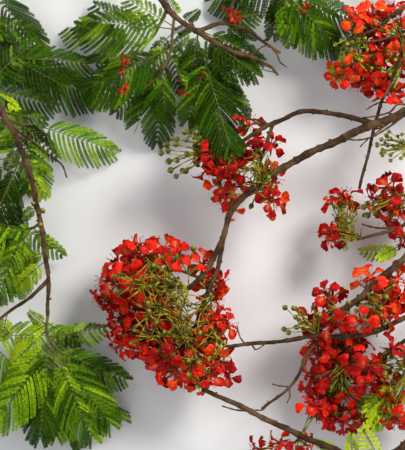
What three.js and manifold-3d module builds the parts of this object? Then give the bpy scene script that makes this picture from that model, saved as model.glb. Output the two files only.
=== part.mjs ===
// A flowering bough of a flame tree, cut from its tree and laid on level ground.
// The cut limb forks into two arching limbs. Side boughs grow inwards from them and end in
// heads of red flowers and in sprays of feathery leaves, which the bough lies on.
// Every length is in millimetres, and Z is height above the ground. The limbs, heads and sprays
// are placed from the middle of the bough's open side, and the whole is then moved so that
// the middle of its box, at ground level, is the origin.
import * as THREE from "three";
import { mergeVertices } from "three/addons/utils/BufferGeometryUtils.js";
import Module from "manifold-3d";

const wasm = await Module();
wasm.setup();

// Driving sizes
const toOrigin = [-64.52, -281.12, -0.66]; // from the middle of the open side to that of the box
const clearance = 0.3; // between two pieces that meet
const ringSpacing = 82; // between the rings of facets along a limb
const thickLimb = 7; // a limb of this radius or more has eight sides, a thinner one six
const goldenAngle = Math.PI * (3 - Math.sqrt(5));
const groundGap = 1.5; // nothing but the cut limb comes nearer to the ground than this

const leaf = {
  fullLength: 240, // a shorter leaf has smaller pinnae
  pairs: 5, // pairs of pinnae, each standing for three of the real leaf's
  firstPair: 0.17, // share of the leaf stalk that is bare
  pinnaLength: 98,
  pinnaWidth: 34,
  bladeThickness: 3.4,
  widest: 0.58, // where along a pinna it is widest
  crowding: 0.6, // share of their room that blades of two leaves in one spray keep between them
  stalkRadius: 3,
  stalkTip: 1.5,
  restLow: 14, // height that the lowest leaf tips come down to
  restHigh: 62,
  hang: 0.36, // how far the pinnae hang to the side that was lower on the tree
};

const bloom = {
  radius: 46,
  throat: 0.3, // radius of the notches between petals, as a share
  petalHalfTurn: 0.36, // half the angle that a petal's end takes up
  depth: 8,
  facingUp: 1.1, // how strongly a flower turns to the light, against the way that its stalk points
  spacing: 72, // between two flowers of one head
  roomOut: 0.75, // how far out the room that a petal takes up reaches, as a share of the petal
  roomRadius: 0.4, // and the radius of that room
  longStalk: 78, // of a flower near the foot of its head
  shortStalk: 48, // and near its tip
  stalkRadius: 2.4,
};

const bud = { length: 24, radius: 8.5, stalk: 62, stalkRadius: 1.9 };

// The limbs, each growing from its parent's centre line at a share of the parent's length
const limbs = {
  main_stem: {
    base: 22, tip: 19,
    through: [[360, 1189, 22], [289, 1083, 54], [235, 957, 96], [216, 896, 112]],
  },
  right_arch_upper: {
    from: ["main_stem", 1], base: 17, tip: 14.5,
    through: [[331, 823, 142], [497, 742, 166], [630, 601, 178], [699, 420, 182]],
  },
  right_arch_lower: {
    from: ["right_arch_upper", 1], base: 14.5, tip: 12,
    through: [[734, 224, 172], [736, 8, 156], [705, -200, 142], [632, -397, 142]],
  },
  right_arch_tip: {
    from: ["right_arch_lower", 1], base: 12, tip: 5.5,
    through: [
      [553, -546, 156], [437, -617, 172], [328, -576, 190], [204, -521, 200], [106, -472, 202],
      [1, -424, 194],
    ],
  },
  left_arch: {
    from: ["main_stem", 0.86], base: 15, tip: 11.5,
    through: [
      [93, 920, 122], [-110, 876, 136], [-328, 823, 144], [-509, 713, 148], [-587, 562, 154],
    ],
  },
  left_bough: {
    from: ["left_arch", 1], base: 11.5, tip: 6,
    through: [
      [-570, 411, 160], [-520, 292, 172], [-478, 219, 180], [-444, 121, 190], [-415, -18, 198],
      [-399, -136, 200], [-400, -234, 194],
    ],
  },
  left_twig: {
    from: ["left_bough", 0.89], base: 5, tip: 3.5,
    through: [[-441, -183, 190], [-491, -217, 174], [-545, -261, 160]],
  },
  top_bough: {
    from: ["left_arch", 0.36], base: 11, tip: 4,
    through: [
      [-146, 743, 158], [-135, 637, 178], [-102, 573, 190], [-63, 534, 198], [-14, 498, 202],
      [35, 472, 200], [81, 447, 194], [133, 432, 186], [179, 410, 178],
    ],
  },
  top_fork: {
    from: ["top_bough", 0.67], base: 6, tip: 3.5,
    through: [[50, 521, 200], [112, 506, 194], [158, 473, 186], [202, 446, 178]],
  },
  flower_bough: {
    from: ["right_arch_upper", 0.9], base: 12.5, tip: 6,
    through: [
      [616, 342, 190], [520, 290, 198], [429, 254, 204], [342, 215, 208], [260, 177, 212],
      [178, 130, 214], [116, 84, 216], [73, 31, 216], [50, -38, 214], [14, -113, 212],
      [-37, -164, 206],
    ],
  },
  flower_fork: {
    from: ["flower_bough", 0.84], base: 6, tip: 5,
    through: [[42, -105, 207], [24, -149, 202], [1, -205, 198], [-17, -257, 194], [-40, -288, 188]],
  },
  upper_bough: {
    from: ["flower_bough", 0.34], base: 7, tip: 5,
    through: [
      [363, 282, 200], [312, 292, 200], [255, 292, 200], [209, 274, 200], [168, 257, 200],
      [127, 231, 197], [86, 208, 192],
    ],
  },
  upper_twig: {
    from: ["upper_bough", 0.71], base: 4.5, tip: 4.5,
    through: [[171, 226, 190], [156, 185, 182]],
  },
  right_bough: {
    from: ["right_arch_lower", 0.34], base: 11.5, tip: 7.5,
    through: [
      [643, 34, 174], [521, -87, 188], [453, -144, 194], [404, -190, 196], [358, -221, 192],
    ],
  },
  mid_bough: {
    from: ["right_arch_lower", 0.24], base: 7, tip: 4,
    through: [[640, 85, 158], [523, 0, 164], [474, -18, 168], [415, -36, 166]],
  },
  low_bough: {
    from: ["right_arch_lower", 0.62], base: 8.5, tip: 4.5,
    through: [
      [630, -184, 152], [523, -243, 162], [453, -274, 168], [380, -291, 174], [305, -286, 178],
      [230, -298, 184], [143, -306, 188], [66, -314, 186],
    ],
  },
  low_twig: {
    from: ["low_bough", 0.66], base: 4.8, tip: 3,
    through: [[269, -338, 176], [254, -382, 172], [221, -426, 166], [154, -479, 156]],
  },
  low_right_bough: {
    from: ["right_arch_lower", 0.72], base: 7, tip: 5,
    through: [[621, -241, 146], [524, -303, 152], [480, -336, 154], [439, -368, 150]],
  },
  top_right_bough: {
    from: ["right_arch_upper", 0.67], base: 6.5, tip: 5,
    through: [[521, 563, 190], [466, 524, 196], [420, 499, 196], [377, 478, 190]],
  },
  top_right_twig: {
    from: ["right_arch_upper", 0.86], base: 5, tip: 3.5,
    through: [[592, 518, 174], [523, 501, 170], [438, 470, 168], [358, 460, 162]],
  },
  long_twig: {
    from: ["right_arch_upper", 0.79], base: 6, tip: 4.5,
    through: [[595, 469, 146], [524, 450, 132], [472, 336, 128], [449, 252, 130], [410, 94, 130]],
  },
};

// The flower heads. Each one's stem leaves its limb on a compass heading in degrees, anticlockwise
// from +X, and dips towards the ground. Buds stand on the far half of the stem. Stalks is the share of
// their full length that the flower stalks of a close head have.
const heads = {
  blooms_great_upper: {
    from: ["flower_bough", 1], heading: 172, dip: 26, length: 185, flowers: 9, buds: 1,
  },
  blooms_great_top: {
    from: ["flower_bough", 0.96], heading: 160, dip: 34, length: 110, flowers: 5, buds: 1,
  },
  blooms_great_lower: {
    from: ["flower_fork", 1], heading: 180, dip: 26, length: 160, flowers: 9, buds: 1,
  },
  blooms_great_right: {
    from: ["low_bough", 1], heading: 158, dip: 30, length: 90, flowers: 6, buds: 1, stalks: 0.85,
  },
  blooms_great_foot: {
    from: ["right_arch_tip", 1], heading: 108, dip: 30, length: 60, flowers: 5, buds: 0, stalks: 0.8,
  },
  blooms_middle_left: {
    from: ["upper_bough", 1], heading: 195, dip: 26, length: 75, flowers: 5, buds: 5, stalks: 0.85,
  },
  blooms_middle: {
    from: ["upper_twig", 1], heading: 255, dip: 40, length: 50, flowers: 5, buds: 1, stalks: 0.8,
  },
  blooms_middle_right: {
    from: ["flower_bough", 0.66], heading: -115, dip: 25, length: 35, flowers: 3, buds: 1, stalks: 0.7,
  },
  blooms_high: {
    from: ["top_right_bough", 1], heading: 45, dip: 30, length: 60, flowers: 5, buds: 3,
  },
  blooms_high_low: {
    from: ["top_right_twig", 1], heading: -30, dip: 24, length: 80, flowers: 6, buds: 2,
  },
  blooms_high_right: {
    from: ["top_right_twig", 0.48], heading: -80, dip: 20, length: 60, flowers: 4, buds: 0,
  },
  blooms_right_small: {
    from: ["mid_bough", 1], heading: 150, dip: 20, length: 60, flowers: 4, buds: 3, stalks: 0.65,
  },
  blooms_right_edge: {
    from: ["mid_bough", 0.58], heading: 135, dip: 25, length: 70, flowers: 6, buds: 1, stalks: 0.85,
  },
  blooms_low_left: {
    from: ["right_bough", 1], heading: 205, dip: 30, length: 45, flowers: 5, buds: 1, stalks: 0.75,
  },
  blooms_low_right: {
    from: ["right_bough", 0.85], heading: -50, dip: 35, length: 70, flowers: 5, buds: 1,
  },
  blooms_low: {
    from: ["low_bough", 0.56], heading: -102, dip: 32, length: 160, flowers: 6, buds: 1,
  },
  blooms_low_middle: {
    from: ["low_right_bough", 1], heading: 168, dip: 22, length: 90, flowers: 6, buds: 2,
  },
  blooms_corner: {
    from: ["right_arch_lower", 0.93], heading: 200, dip: 8, length: 120, flowers: 6, buds: 1,
  },
  blooms_bottom: {
    from: ["right_arch_tip", 0.64], heading: -135, dip: 40, length: 40, flowers: 4, buds: 0, stalks: 0.8,
  },
  buds_low: {
    from: ["low_bough", 0.67], heading: 130, dip: 0, length: 34, flowers: 0, buds: 7,
  },
};

// The sprays of leaves. Each one's stem runs on from its limb, and each leaf has its own compass
// heading and length.
const sprays = {
  leaves_corner: {
    from: ["left_arch", 0.94],
    through: [[-603, 636, 146], [-614, 683, 140]],
    leaves: [[-48, 300], [-75, 280], [150, 280]],
  },
  leaves_upper_left: {
    from: ["left_bough", 0.19],
    through: [[-526, 428, 142], [-506, 445, 134]],
    leaves: [[-24, 250], [-2, 280], [190, 270]],
  },
  leaves_left_twig: {
    from: ["left_bough", 0.36],
    through: [[-470, 262, 170], [-440, 262, 162]],
    leaves: [[-17, 240], [98, 220], [-75, 190]],
  },
  leaves_top_left: {
    from: ["top_bough", 0.52],
    through: [[-131, 487, 160], [-185, 461, 146]],
    leaves: [[205, 220], [165, 210], [140, 190]],
  },
  leaves_top_middle: {
    from: ["top_bough", 0.56],
    through: [[-78, 494, 186], [-84, 446, 174], [-107, 398, 160]],
    leaves: [[-92, 190], [-118, 190], [-66, 220]],
  },
  leaves_top_under: {
    from: ["top_bough", 0.74],
    through: [[19, 446, 172], [9, 422, 158]],
    leaves: [[-50, 180], [-85, 220]],
  },
  leaves_top_tip: {
    from: ["top_bough", 1],
    through: [[196, 392, 140]],
    leaves: [[-154, 220], [163, 240]],
  },
  leaves_top_right: {
    from: ["right_arch_upper", 0.21],
    through: [[268, 700, 150], [216, 603, 158]],
    leaves: [[-14, 220], [-50, 200], [-108, 160], [-162, 240]],
  },
  leaves_left_high: {
    from: ["left_bough", 0.54],
    through: [[-471, 157, 172], [-493, 173, 158]],
    leaves: [[-97, 270], [178, 260], [130, 200]],
  },
  leaves_left_middle: {
    from: ["left_bough", 0.71],
    through: [[-445, -10, 176], [-467, -3, 162]],
    leaves: [[-34, 130], [-112, 190], [172, 260]],
  },
  leaves_left_low: {
    from: ["left_twig", 1],
    through: [[-572, -288, 146]],
    leaves: [[3, 240], [-46, 290], [-95, 260], [172, 230]],
  },
  leaves_low_tip: {
    from: ["left_bough", 1],
    through: [[-403, -278, 186], [-383, -322, 174]],
    leaves: [[-29, 210], [-50, 280], [-84, 270], [-122, 260], [6, 140]],
  },
  leaf_low_right: {
    from: ["low_right_bough", 0.72],
    through: [[529, -366, 138], [514, -419, 126]],
    leaves: [[-150, 150]],
  },
  leaf_right: {
    from: ["mid_bough", 0.78],
    through: [[517, -39, 146], [513, -65, 138]],
    leaves: [[187, 130]],
  },
  leaves_arch_left: {
    from: ["left_arch", 0.6],
    through: [[-355, 878, 126]],
    leaves: [[60, 260], [200, 280]],
  },
  leaves_arch_right: {
    from: ["right_arch_upper", 0.6],
    through: [[615, 744, 150]],
    leaves: [[75, 250], [10, 270]],
  },
  leaves_arch_low: {
    from: ["right_arch_lower", 0.47],
    through: [[786, 0, 134]],
    leaves: [[20, 250], [-50, 260]],
  },
};
const sprayStem = { base: 4, tip: 3 };
const headStem = { base: 4.4, tip: 3 };

const up = new THREE.Vector3(0, 0, 1);
const lowerSide = new THREE.Vector3(0, -1, 0); // on the tree this side of the bough was lower
const radians = THREE.MathUtils.degToRad;

// The same row of numbers from 0 to 1 for the same seed, so that the bough grows alike each time
function seededNumbers(seed) {
  let state = seed;
  return () => {
    state = (state * 16807) % 2147483647;
    return (state - 1) / 2147483646;
  };
}

function point(p) {
  return new THREE.Vector3(...p);
}

function smoothCurve(points) {
  return new THREE.CatmullRomCurve3(points, false, "catmullrom", 0.5);
}

function heading(turn, rise) {
  const level = Math.cos(rise);
  return new THREE.Vector3(Math.cos(turn) * level, Math.sin(turn) * level, Math.sin(rise));
}

// Solids

function solidOf(geometry) {
  geometry.deleteAttribute("normal");
  geometry.deleteAttribute("uv");
  const merged = mergeVertices(geometry, 1e-4);
  return new wasm.Manifold(
    new wasm.Mesh({
      numProp: 3,
      vertProperties: merged.attributes.position.array,
      triVerts: new Uint32Array(merged.index.array),
    }),
  );
}

// Moves each vertex of a geometry to the point that place() gives for it
function reshape(geometry, place) {
  const position = geometry.attributes.position;
  const vertex = new THREE.Vector3();
  for (let i = 0; i < position.count; i++) {
    vertex.fromBufferAttribute(position, i);
    position.setXYZ(i, ...place(vertex.clone()).toArray());
  }
  return geometry;
}

// A tapering rod bent along a curve. With a skin it is that much larger all round and at its ends.
function bentRod(curve, base, tip, sides, rings, skin = 0) {
  const frames = curve.computeFrenetFrames(rings, false);
  const skinRadius = skin / Math.cos(Math.PI / sides);
  return solidOf(
    reshape(new THREE.CylinderGeometry(1, 1, 1, sides, rings), (v) => {
      const share = v.y + 0.5;
      const ring = Math.round(share * rings);
      const radius = THREE.MathUtils.lerp(base, tip, share) + skinRadius;
      const end = ring === 0 ? -skin : ring === rings ? skin : 0;
      return curve
        .getPointAt(share)
        .addScaledVector(frames.normals[ring], v.x * radius)
        .addScaledVector(frames.binormals[ring], -v.z * radius)
        .addScaledVector(frames.tangents[ring], end);
    }),
  );
}

// A straight three-sided stalk
function stalk(from, to, base, tip) {
  return bentRod(new THREE.LineCurve3(from, to), base, tip, 3, 1);
}

// A folded blade of four faces: a ridge from root to tip, and two lower corners at its widest
function blade(root, direction, width, length) {
  const face = new THREE.Vector3().crossVectors(width, direction).normalize();
  face.multiplyScalar(Math.sign(face.z));
  const across = new THREE.Vector3().crossVectors(face, direction);
  return solidOf(
    reshape(new THREE.TetrahedronGeometry(1, 0), (v) => {
      if (v.z > 0) return root.clone().addScaledVector(direction, v.x > 0 ? 0 : length);
      return root
        .clone()
        .addScaledVector(direction, leaf.widest * length)
        .addScaledVector(across, (Math.sign(v.x) * width.length()) / 2)
        .addScaledVector(face, -leaf.bladeThickness);
    }),
  );
}

// A bud: a plump drop of eight faces
function budSolid(root, direction) {
  const across = new THREE.Vector3().crossVectors(direction, up).normalize();
  const side = new THREE.Vector3().crossVectors(across, direction);
  return solidOf(
    reshape(new THREE.OctahedronGeometry(1, 0), (v) => {
      const along = v.y > 0.5 ? 1 : v.y < -0.5 ? -0.12 : 0.5;
      return root
        .clone()
        .addScaledVector(direction, along * bud.length)
        .addScaledVector(across, v.x * bud.radius)
        .addScaledVector(side, v.z * -bud.radius);
    }),
  );
}

// An open flower of five broad petals: a shallow star with two shoulders to each petal
function flowerSolid(flower) {
  const { centre, facing, petals } = flower;
  const notches = petals.length;
  return solidOf(
    reshape(new THREE.SphereGeometry(1, 3 * notches, 2), (v) => {
      if (Math.abs(v.y) > 0.5) return centre.clone().addScaledVector(facing, Math.sign(v.y) * bloom.depth);
      const corner = Math.round(Math.atan2(v.z, v.x) / ((2 * Math.PI) / (3 * notches)) + 3 * notches);
      const petal = petals[Math.floor(corner / 3) % notches];
      const role = corner % 3;
      if (role === 0) return centre.clone().addScaledVector(petal.notch, bloom.radius * bloom.throat);
      const shoulder = role === 1 ? -bloom.petalHalfTurn : bloom.petalHalfTurn;
      return centre
        .clone()
        .addScaledVector(petal.along, petal.reach * Math.cos(shoulder))
        .addScaledVector(petal.across, petal.reach * Math.sin(shoulder));
    }),
  );
}

// Room: what each piece takes up, as rods with round ends, so that nothing grows into another piece

const taken = [];

function take(owner, from, to, radius) {
  taken.push({ owner, from: from.clone(), to: to.clone(), radius });
}

// The shortest distance between two straight lengths
function distanceBetween(a0, a1, b0, b1) {
  const a = a1.clone().sub(a0);
  const b = b1.clone().sub(b0);
  const gap = a0.clone().sub(b0);
  const aa = a.dot(a);
  const bb = b.dot(b);
  const ab = a.dot(b);
  const ag = a.dot(gap);
  const bg = b.dot(gap);
  const spread = aa * bb - ab * ab;
  let s = spread > 1e-9 ? THREE.MathUtils.clamp((ab * bg - ag * bb) / spread, 0, 1) : 0;
  let t = (ab * s + bg) / bb;
  if (t < 0 || t > 1) {
    t = THREE.MathUtils.clamp(t, 0, 1);
    s = THREE.MathUtils.clamp((ab * t - ag) / aa, 0, 1);
  }
  return gap.addScaledVector(a, s).addScaledVector(b, -t).length();
}

// True if a rod from one point to the other is clear of every piece but its owner
function isClear(owner, from, to, radius) {
  const middle = from.clone().add(to).multiplyScalar(0.5);
  const reach = from.distanceTo(to) / 2 + radius + 1;
  return taken.every((rod) => {
    if (rod.owner === owner) return true;
    const far = rod.from.distanceTo(rod.to) / 2 + rod.radius + reach;
    const between = middle.distanceTo(rod.from.clone().add(rod.to).multiplyScalar(0.5));
    return between > far || distanceBetween(from, to, rod.from, rod.to) > radius + rod.radius + 1;
  });
}

function takeCurve(owner, curve, base, tip, steps) {
  const points = curve.getSpacedPoints(steps);
  for (let i = 0; i < steps; i++) {
    take(owner, points[i], points[i + 1], THREE.MathUtils.lerp(base, tip, i / steps));
  }
}

// Growth: where the leaves and flowers of each mass stand

// One compound leaf: a stalk that arches down to rest, with pairs of pinnae
function planLeaf(owner, base, turn, length, draw) {
  const rest = THREE.MathUtils.lerp(leaf.restLow, leaf.restHigh, draw());
  const roll = radians(34 * (draw() - 0.5));
  const scale = Math.min(1, length / leaf.fullLength);
  const out = heading(turn, 0);
  const at = (share) =>
    base
      .clone()
      .addScaledVector(out, length * share)
      .addScaledVector(up, (rest - base.z) * share ** 1.8);
  const steps = 5;
  const line = Array.from({ length: steps + 1 }, (_, i) => at(i / steps));
  const blocked = line.some((p, i) => i > 1 && !isClear(owner, line[i - 1], p, leaf.stalkRadius));
  const pinnae = [];
  for (let pair = 0; pair < leaf.pairs; pair++) {
    const share = leaf.firstPair + ((1 - leaf.firstPair) * (pair + 0.6)) / leaf.pairs;
    const along = at(share + 0.01).sub(at(share - 0.01)).normalize();
    const level = new THREE.Vector3().crossVectors(along, up).normalize();
    const across = level.applyAxisAngle(along, roll);
    const sweep = radians(14 + 34 * share);
    const size = Math.sin(Math.PI * (0.14 + 0.72 * share));
    for (const side of [-1, 1]) {
      const direction = across
        .clone()
        .multiplyScalar(side * Math.cos(sweep))
        .addScaledVector(along, Math.sin(sweep))
        .addScaledVector(up, -0.1 - 0.16 * draw())
        .addScaledVector(lowerSide, leaf.hang);
      const reach = Math.min(1.15, direction.length());
      direction.normalize();
      const width = along.clone().addScaledVector(direction, -along.dot(direction));
      width.setLength(leaf.pinnaWidth * Math.sqrt(scale));
      const long = leaf.pinnaLength * size * scale * reach;
      pinnae.push({ root: at(share), direction, width, length: long });
    }
  }
  return { line, pinnae, blocked };
}

function planSpray(name, spray, seed) {
  const draw = seededNumbers(seed);
  const stem = stems[name];
  const leaves = [];
  const blades = [];
  spray.leaves.forEach(([degrees, fullGrown], i) => {
    const share = 1 - (0.5 * i) / spray.leaves.length;
    const base = stem.getPointAt(share);
    const length = fullGrown * (0.94 + 0.12 * draw());
    let grown = null;
    for (let attempt = 0; attempt < 8 && !grown; attempt++) {
      const turn = radians(degrees + (8 + 3 * attempt) * (draw() - 0.5));
      const plan = planLeaf(name, base, turn, length, draw);
      if (!plan.blocked) grown = plan;
    }
    if (!grown) return;
    grown.pinnae = grown.pinnae.filter((pinna) => {
      const room = pinna.width.length() / 2;
      const from = pinna.root.clone().addScaledVector(pinna.direction, room);
      const to = pinna.root.clone().addScaledVector(pinna.direction, pinna.length);
      return (
        to.z > groundGap + leaf.bladeThickness &&
        blades.every((other) => {
          const between = distanceBetween(from, to, other.from, other.to);
          return between > leaf.crowding * (room + other.room);
        }) &&
        isClear(name, from, to, room)
      );
    });
    grown.line.slice(1).forEach((p, k) => take(name, grown.line[k], p, leaf.stalkRadius));
    for (const pinna of grown.pinnae) {
      const tip = pinna.root.clone().addScaledVector(pinna.direction, pinna.length);
      const room = pinna.width.length() / 2;
      take(name, pinna.root, tip, room);
      blades.push({ from: pinna.root, to: tip, room });
    }
    leaves.push(grown);
  });
  return leaves;
}

// The five petals of a flower that faces one way, spread evenly round it
function planPetals(facing, turn, draw) {
  const beside = Math.abs(facing.z) > 0.9 ? new THREE.Vector3(1, 0, 0) : up;
  const first = new THREE.Vector3().crossVectors(facing, beside).normalize();
  const second = new THREE.Vector3().crossVectors(first, facing);
  const count = 5;
  return Array.from({ length: count }, (_, i) => {
    const middle = turn + (2 * Math.PI * (i + 0.5)) / count;
    const edge = turn + (2 * Math.PI * i) / count;
    const lift = 0.34 * (draw() - 0.62);
    const around = (angle) =>
      first.clone().multiplyScalar(Math.cos(angle)).addScaledVector(second, Math.sin(angle));
    return {
      notch: around(edge),
      along: around(middle).addScaledVector(facing, lift).normalize(),
      across: around(middle + Math.PI / 2),
      reach: bloom.radius * (0.9 + 0.2 * draw()),
    };
  });
}

function planHead(name, head, seed) {
  const draw = seededNumbers(seed);
  const stem = stems[name];
  const axis = stem.getTangentAt(1);
  const side = new THREE.Vector3().crossVectors(axis, up).normalize();
  const third = new THREE.Vector3().crossVectors(side, axis);
  const flowers = [];
  const buds = [];
  const outwards = (turn, lean) =>
    axis
      .clone()
      .multiplyScalar(Math.cos(lean))
      .addScaledVector(side, Math.sin(lean) * Math.cos(turn))
      .addScaledVector(third, 0.7 * Math.sin(lean) * Math.sin(turn))
      .normalize();
  for (let i = 0; i < head.flowers; i++) {
    const share = (i + 0.5) / head.flowers;
    const base = stem.getPointAt(0.3 + 0.68 * share);
    for (let attempt = 0; attempt < 7; attempt++) {
      const turn = i * goldenAngle + attempt * 0.9 + 0.5 * draw();
      const lean = radians(96 - 78 * share + 16 * (draw() - 0.5));
      const direction = outwards(turn, lean);
      const fullStalk = THREE.MathUtils.lerp(bloom.longStalk, bloom.shortStalk, share);
      const reach = fullStalk * (head.stalks ?? 1) * (0.88 + 0.24 * draw() + 0.08 * attempt);
      const centre = base.clone().addScaledVector(direction, reach);
      const facing = direction.clone().addScaledVector(up, bloom.facingUp).normalize();
      const petals = planPetals(facing, 6 * draw(), draw);
      const stalkEnd = centre.clone().addScaledVector(direction, -bloom.stalkRadius);
      const roomy =
        flowers.every((other) => other.centre.distanceTo(centre) > bloom.spacing) &&
        isClear(name, base.clone().addScaledVector(direction, 12), stalkEnd, bloom.stalkRadius) &&
        petals.every((petal) => {
          const inner = centre.clone().addScaledVector(petal.along, petal.reach * 0.3);
          const outer = centre.clone().addScaledVector(petal.along, petal.reach * bloom.roomOut);
          const room = petal.reach * bloom.roomRadius;
          return outer.z > room + groundGap && isClear(name, inner, outer, room);
        });
      if (!roomy) continue;
      take(name, base, centre, bloom.stalkRadius);
      for (const petal of petals) {
        const outer = centre.clone().addScaledVector(petal.along, petal.reach * bloom.roomOut);
        take(name, centre, outer, petal.reach * bloom.roomRadius);
      }
      flowers.push({ base, centre, facing, petals });
      break;
    }
  }
  for (let i = 0; i < head.buds; i++) {
    const share = (i + 0.5) / head.buds;
    const base = stem.getPointAt(0.45 + 0.53 * share);
    for (let attempt = 0; attempt < 5; attempt++) {
      const turn = (i + 0.5) * goldenAngle + attempt + 0.6 * draw();
      const lean = radians(70 - 52 * share + 14 * (draw() - 0.5));
      const direction = outwards(turn, lean);
      const root = base.clone().addScaledVector(direction, bud.stalk * (0.7 + 0.5 * draw()));
      const tip = root.clone().addScaledVector(direction, bud.length);
      const roomy =
        tip.z > groundGap + bud.radius &&
        flowers.every((flower) => flower.centre.distanceTo(root) > 0.6 * bloom.radius) &&
        buds.every((other) => other.root.distanceTo(root) > 2.2 * bud.radius) &&
        isClear(name, base.clone().addScaledVector(direction, 10), root, bud.stalkRadius) &&
        isClear(name, root, tip, bud.radius);
      if (!roomy) continue;
      take(name, base, root, bud.stalkRadius);
      take(name, root, tip, bud.radius);
      buds.push({ base, root, direction });
      break;
    }
  }
  return { flowers, buds };
}

// Curves of all the limbs and stems, and the room that they take

const curves = {};
for (const [name, limb] of Object.entries(limbs)) {
  const start = limb.from ? [curves[limb.from[0]].getPointAt(limb.from[1])] : [];
  curves[name] = smoothCurve([...start, ...limb.through.map(point)]);
  takeCurve(name, curves[name], limb.base, limb.tip, Math.round(curves[name].getLength() / 30));
}

const stems = {};
for (const [name, head] of Object.entries(heads)) {
  const start = curves[head.from[0]].getPointAt(head.from[1]);
  const out = heading(radians(head.heading), radians(-head.dip));
  stems[name] = new THREE.LineCurve3(start, start.clone().addScaledVector(out, head.length));
  takeCurve(name, stems[name], headStem.base, headStem.tip, 3);
}
for (const [name, spray] of Object.entries(sprays)) {
  const start = curves[spray.from[0]].getPointAt(spray.from[1]);
  stems[name] = smoothCurve([start, ...spray.through.map(point)]);
  takeCurve(name, stems[name], sprayStem.base, sprayStem.tip, 4);
}

// The limb's solid, or the room round it that the pieces it carries are cut back from
function limbSolid(name, skin = 0) {
  const limb = limbs[name];
  const sides = limb.base >= thickLimb ? 8 : 6;
  const rings = Math.max(2, Math.round(curves[name].getLength() / ringSpacing));
  return bentRod(curves[name], limb.base, limb.tip, sides, rings, skin);
}

const materials = {
  bark: new THREE.MeshStandardMaterial({ color: 0x6b4c38, roughness: 0.85, metalness: 0 }),
  bloom: new THREE.MeshStandardMaterial({ color: 0xd8200c, roughness: 0.5, metalness: 0 }),
  leaf: new THREE.MeshStandardMaterial({ color: 0x4f8a14, roughness: 0.55, metalness: 0 }),
};

const bough = new THREE.Group();

// Adds the largest body of a solid as a named mesh, so that a scrap or a sealed hollow is left out
function addPiece(name, solid, material) {
  const [largest] = solid.decompose().sort((a, b) => b.volume() - a.volume());
  const made = largest.getMesh();
  const geometry = new THREE.BufferGeometry();
  geometry.setAttribute("position", new THREE.BufferAttribute(made.vertProperties, 3));
  geometry.setIndex(new THREE.BufferAttribute(made.triVerts, 1));
  geometry.computeVertexNormals();
  const mesh = new THREE.Mesh(geometry, material);
  mesh.name = name;
  bough.add(mesh);
}

for (const [name, limb] of Object.entries(limbs)) {
  const solid = limbSolid(name);
  addPiece(name, limb.from ? solid.subtract(limbSolid(limb.from[0], clearance)) : solid, materials.bark);
}

Object.entries(heads).forEach(([name, head], i) => {
  const { flowers, buds } = planHead(name, head, 101 + 37 * i);
  const pieces = [bentRod(stems[name], headStem.base, headStem.tip, 6, 2)];
  for (const flower of flowers) {
    pieces.push(stalk(flower.base, flower.centre, bloom.stalkRadius, bloom.stalkRadius));
    pieces.push(flowerSolid(flower));
  }
  for (const one of buds) {
    pieces.push(stalk(one.base, one.root, bud.stalkRadius, bud.stalkRadius));
    pieces.push(budSolid(one.root, one.direction));
  }
  const joined = wasm.Manifold.union(pieces);
  addPiece(name, joined.subtract(limbSolid(head.from[0], clearance)), materials.bloom);
});

Object.entries(sprays).forEach(([name, spray], i) => {
  const leaves = planSpray(name, spray, 907 + 53 * i);
  const pieces = [bentRod(stems[name], sprayStem.base, sprayStem.tip, 6, 3)];
  for (const grown of leaves) {
    pieces.push(bentRod(smoothCurve(grown.line), leaf.stalkRadius, leaf.stalkTip, 3, 4));
    for (const pinna of grown.pinnae) {
      pieces.push(blade(pinna.root, pinna.direction, pinna.width, pinna.length));
    }
  }
  const joined = wasm.Manifold.union(pieces);
  addPiece(name, joined.subtract(limbSolid(spray.from[0], clearance)), materials.leaf);
});

bough.position.set(...toOrigin);

export default bough;
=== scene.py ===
# A flowering bough of a flame tree, cut and laid on a pale floor, seen from straight above.
# The growing rules are worked in millimetres from the floor's point below the middle of the view.
from math import atan2, cos, pi, radians, sin, sqrt
import bmesh
import bpy
import numpy as np
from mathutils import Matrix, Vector
from numpy.linalg import norm


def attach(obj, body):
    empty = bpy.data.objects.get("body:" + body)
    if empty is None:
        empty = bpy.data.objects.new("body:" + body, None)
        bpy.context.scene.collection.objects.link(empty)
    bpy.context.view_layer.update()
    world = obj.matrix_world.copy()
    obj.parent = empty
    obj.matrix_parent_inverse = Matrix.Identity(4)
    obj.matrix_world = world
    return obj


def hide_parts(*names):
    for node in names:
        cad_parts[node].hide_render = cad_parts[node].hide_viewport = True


for spare in ("Cube", "Camera", "Light"):  # the new file's own objects
    if spare in bpy.data.objects:
        bpy.data.objects.remove(bpy.data.objects[spare], do_unlink=True)
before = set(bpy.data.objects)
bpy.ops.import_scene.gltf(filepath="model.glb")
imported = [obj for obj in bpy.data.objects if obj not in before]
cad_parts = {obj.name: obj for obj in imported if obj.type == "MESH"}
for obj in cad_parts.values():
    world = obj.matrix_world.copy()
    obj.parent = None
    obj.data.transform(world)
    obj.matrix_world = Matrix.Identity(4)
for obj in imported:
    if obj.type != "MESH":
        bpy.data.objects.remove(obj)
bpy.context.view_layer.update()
print("frame loaded:", len(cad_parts), "nodes")

toOrigin = np.array([-64.52, -281.12, -0.66])  # from the rules' zero to the frame's, in millimetres
goldenAngle = pi * (3 - sqrt(5))
up = np.array([0.0, 0.0, 1.0])

# The camera: the photo's size in pixels, their scale, and the rest in metres and lens millimetres
view = {
    "width": 405, "height": 450, "millimetresPerPixel": 2.6,
    "distance": 6.0, "level": 0.16, "sensor": 36, "farthest": 60,
}


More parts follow.
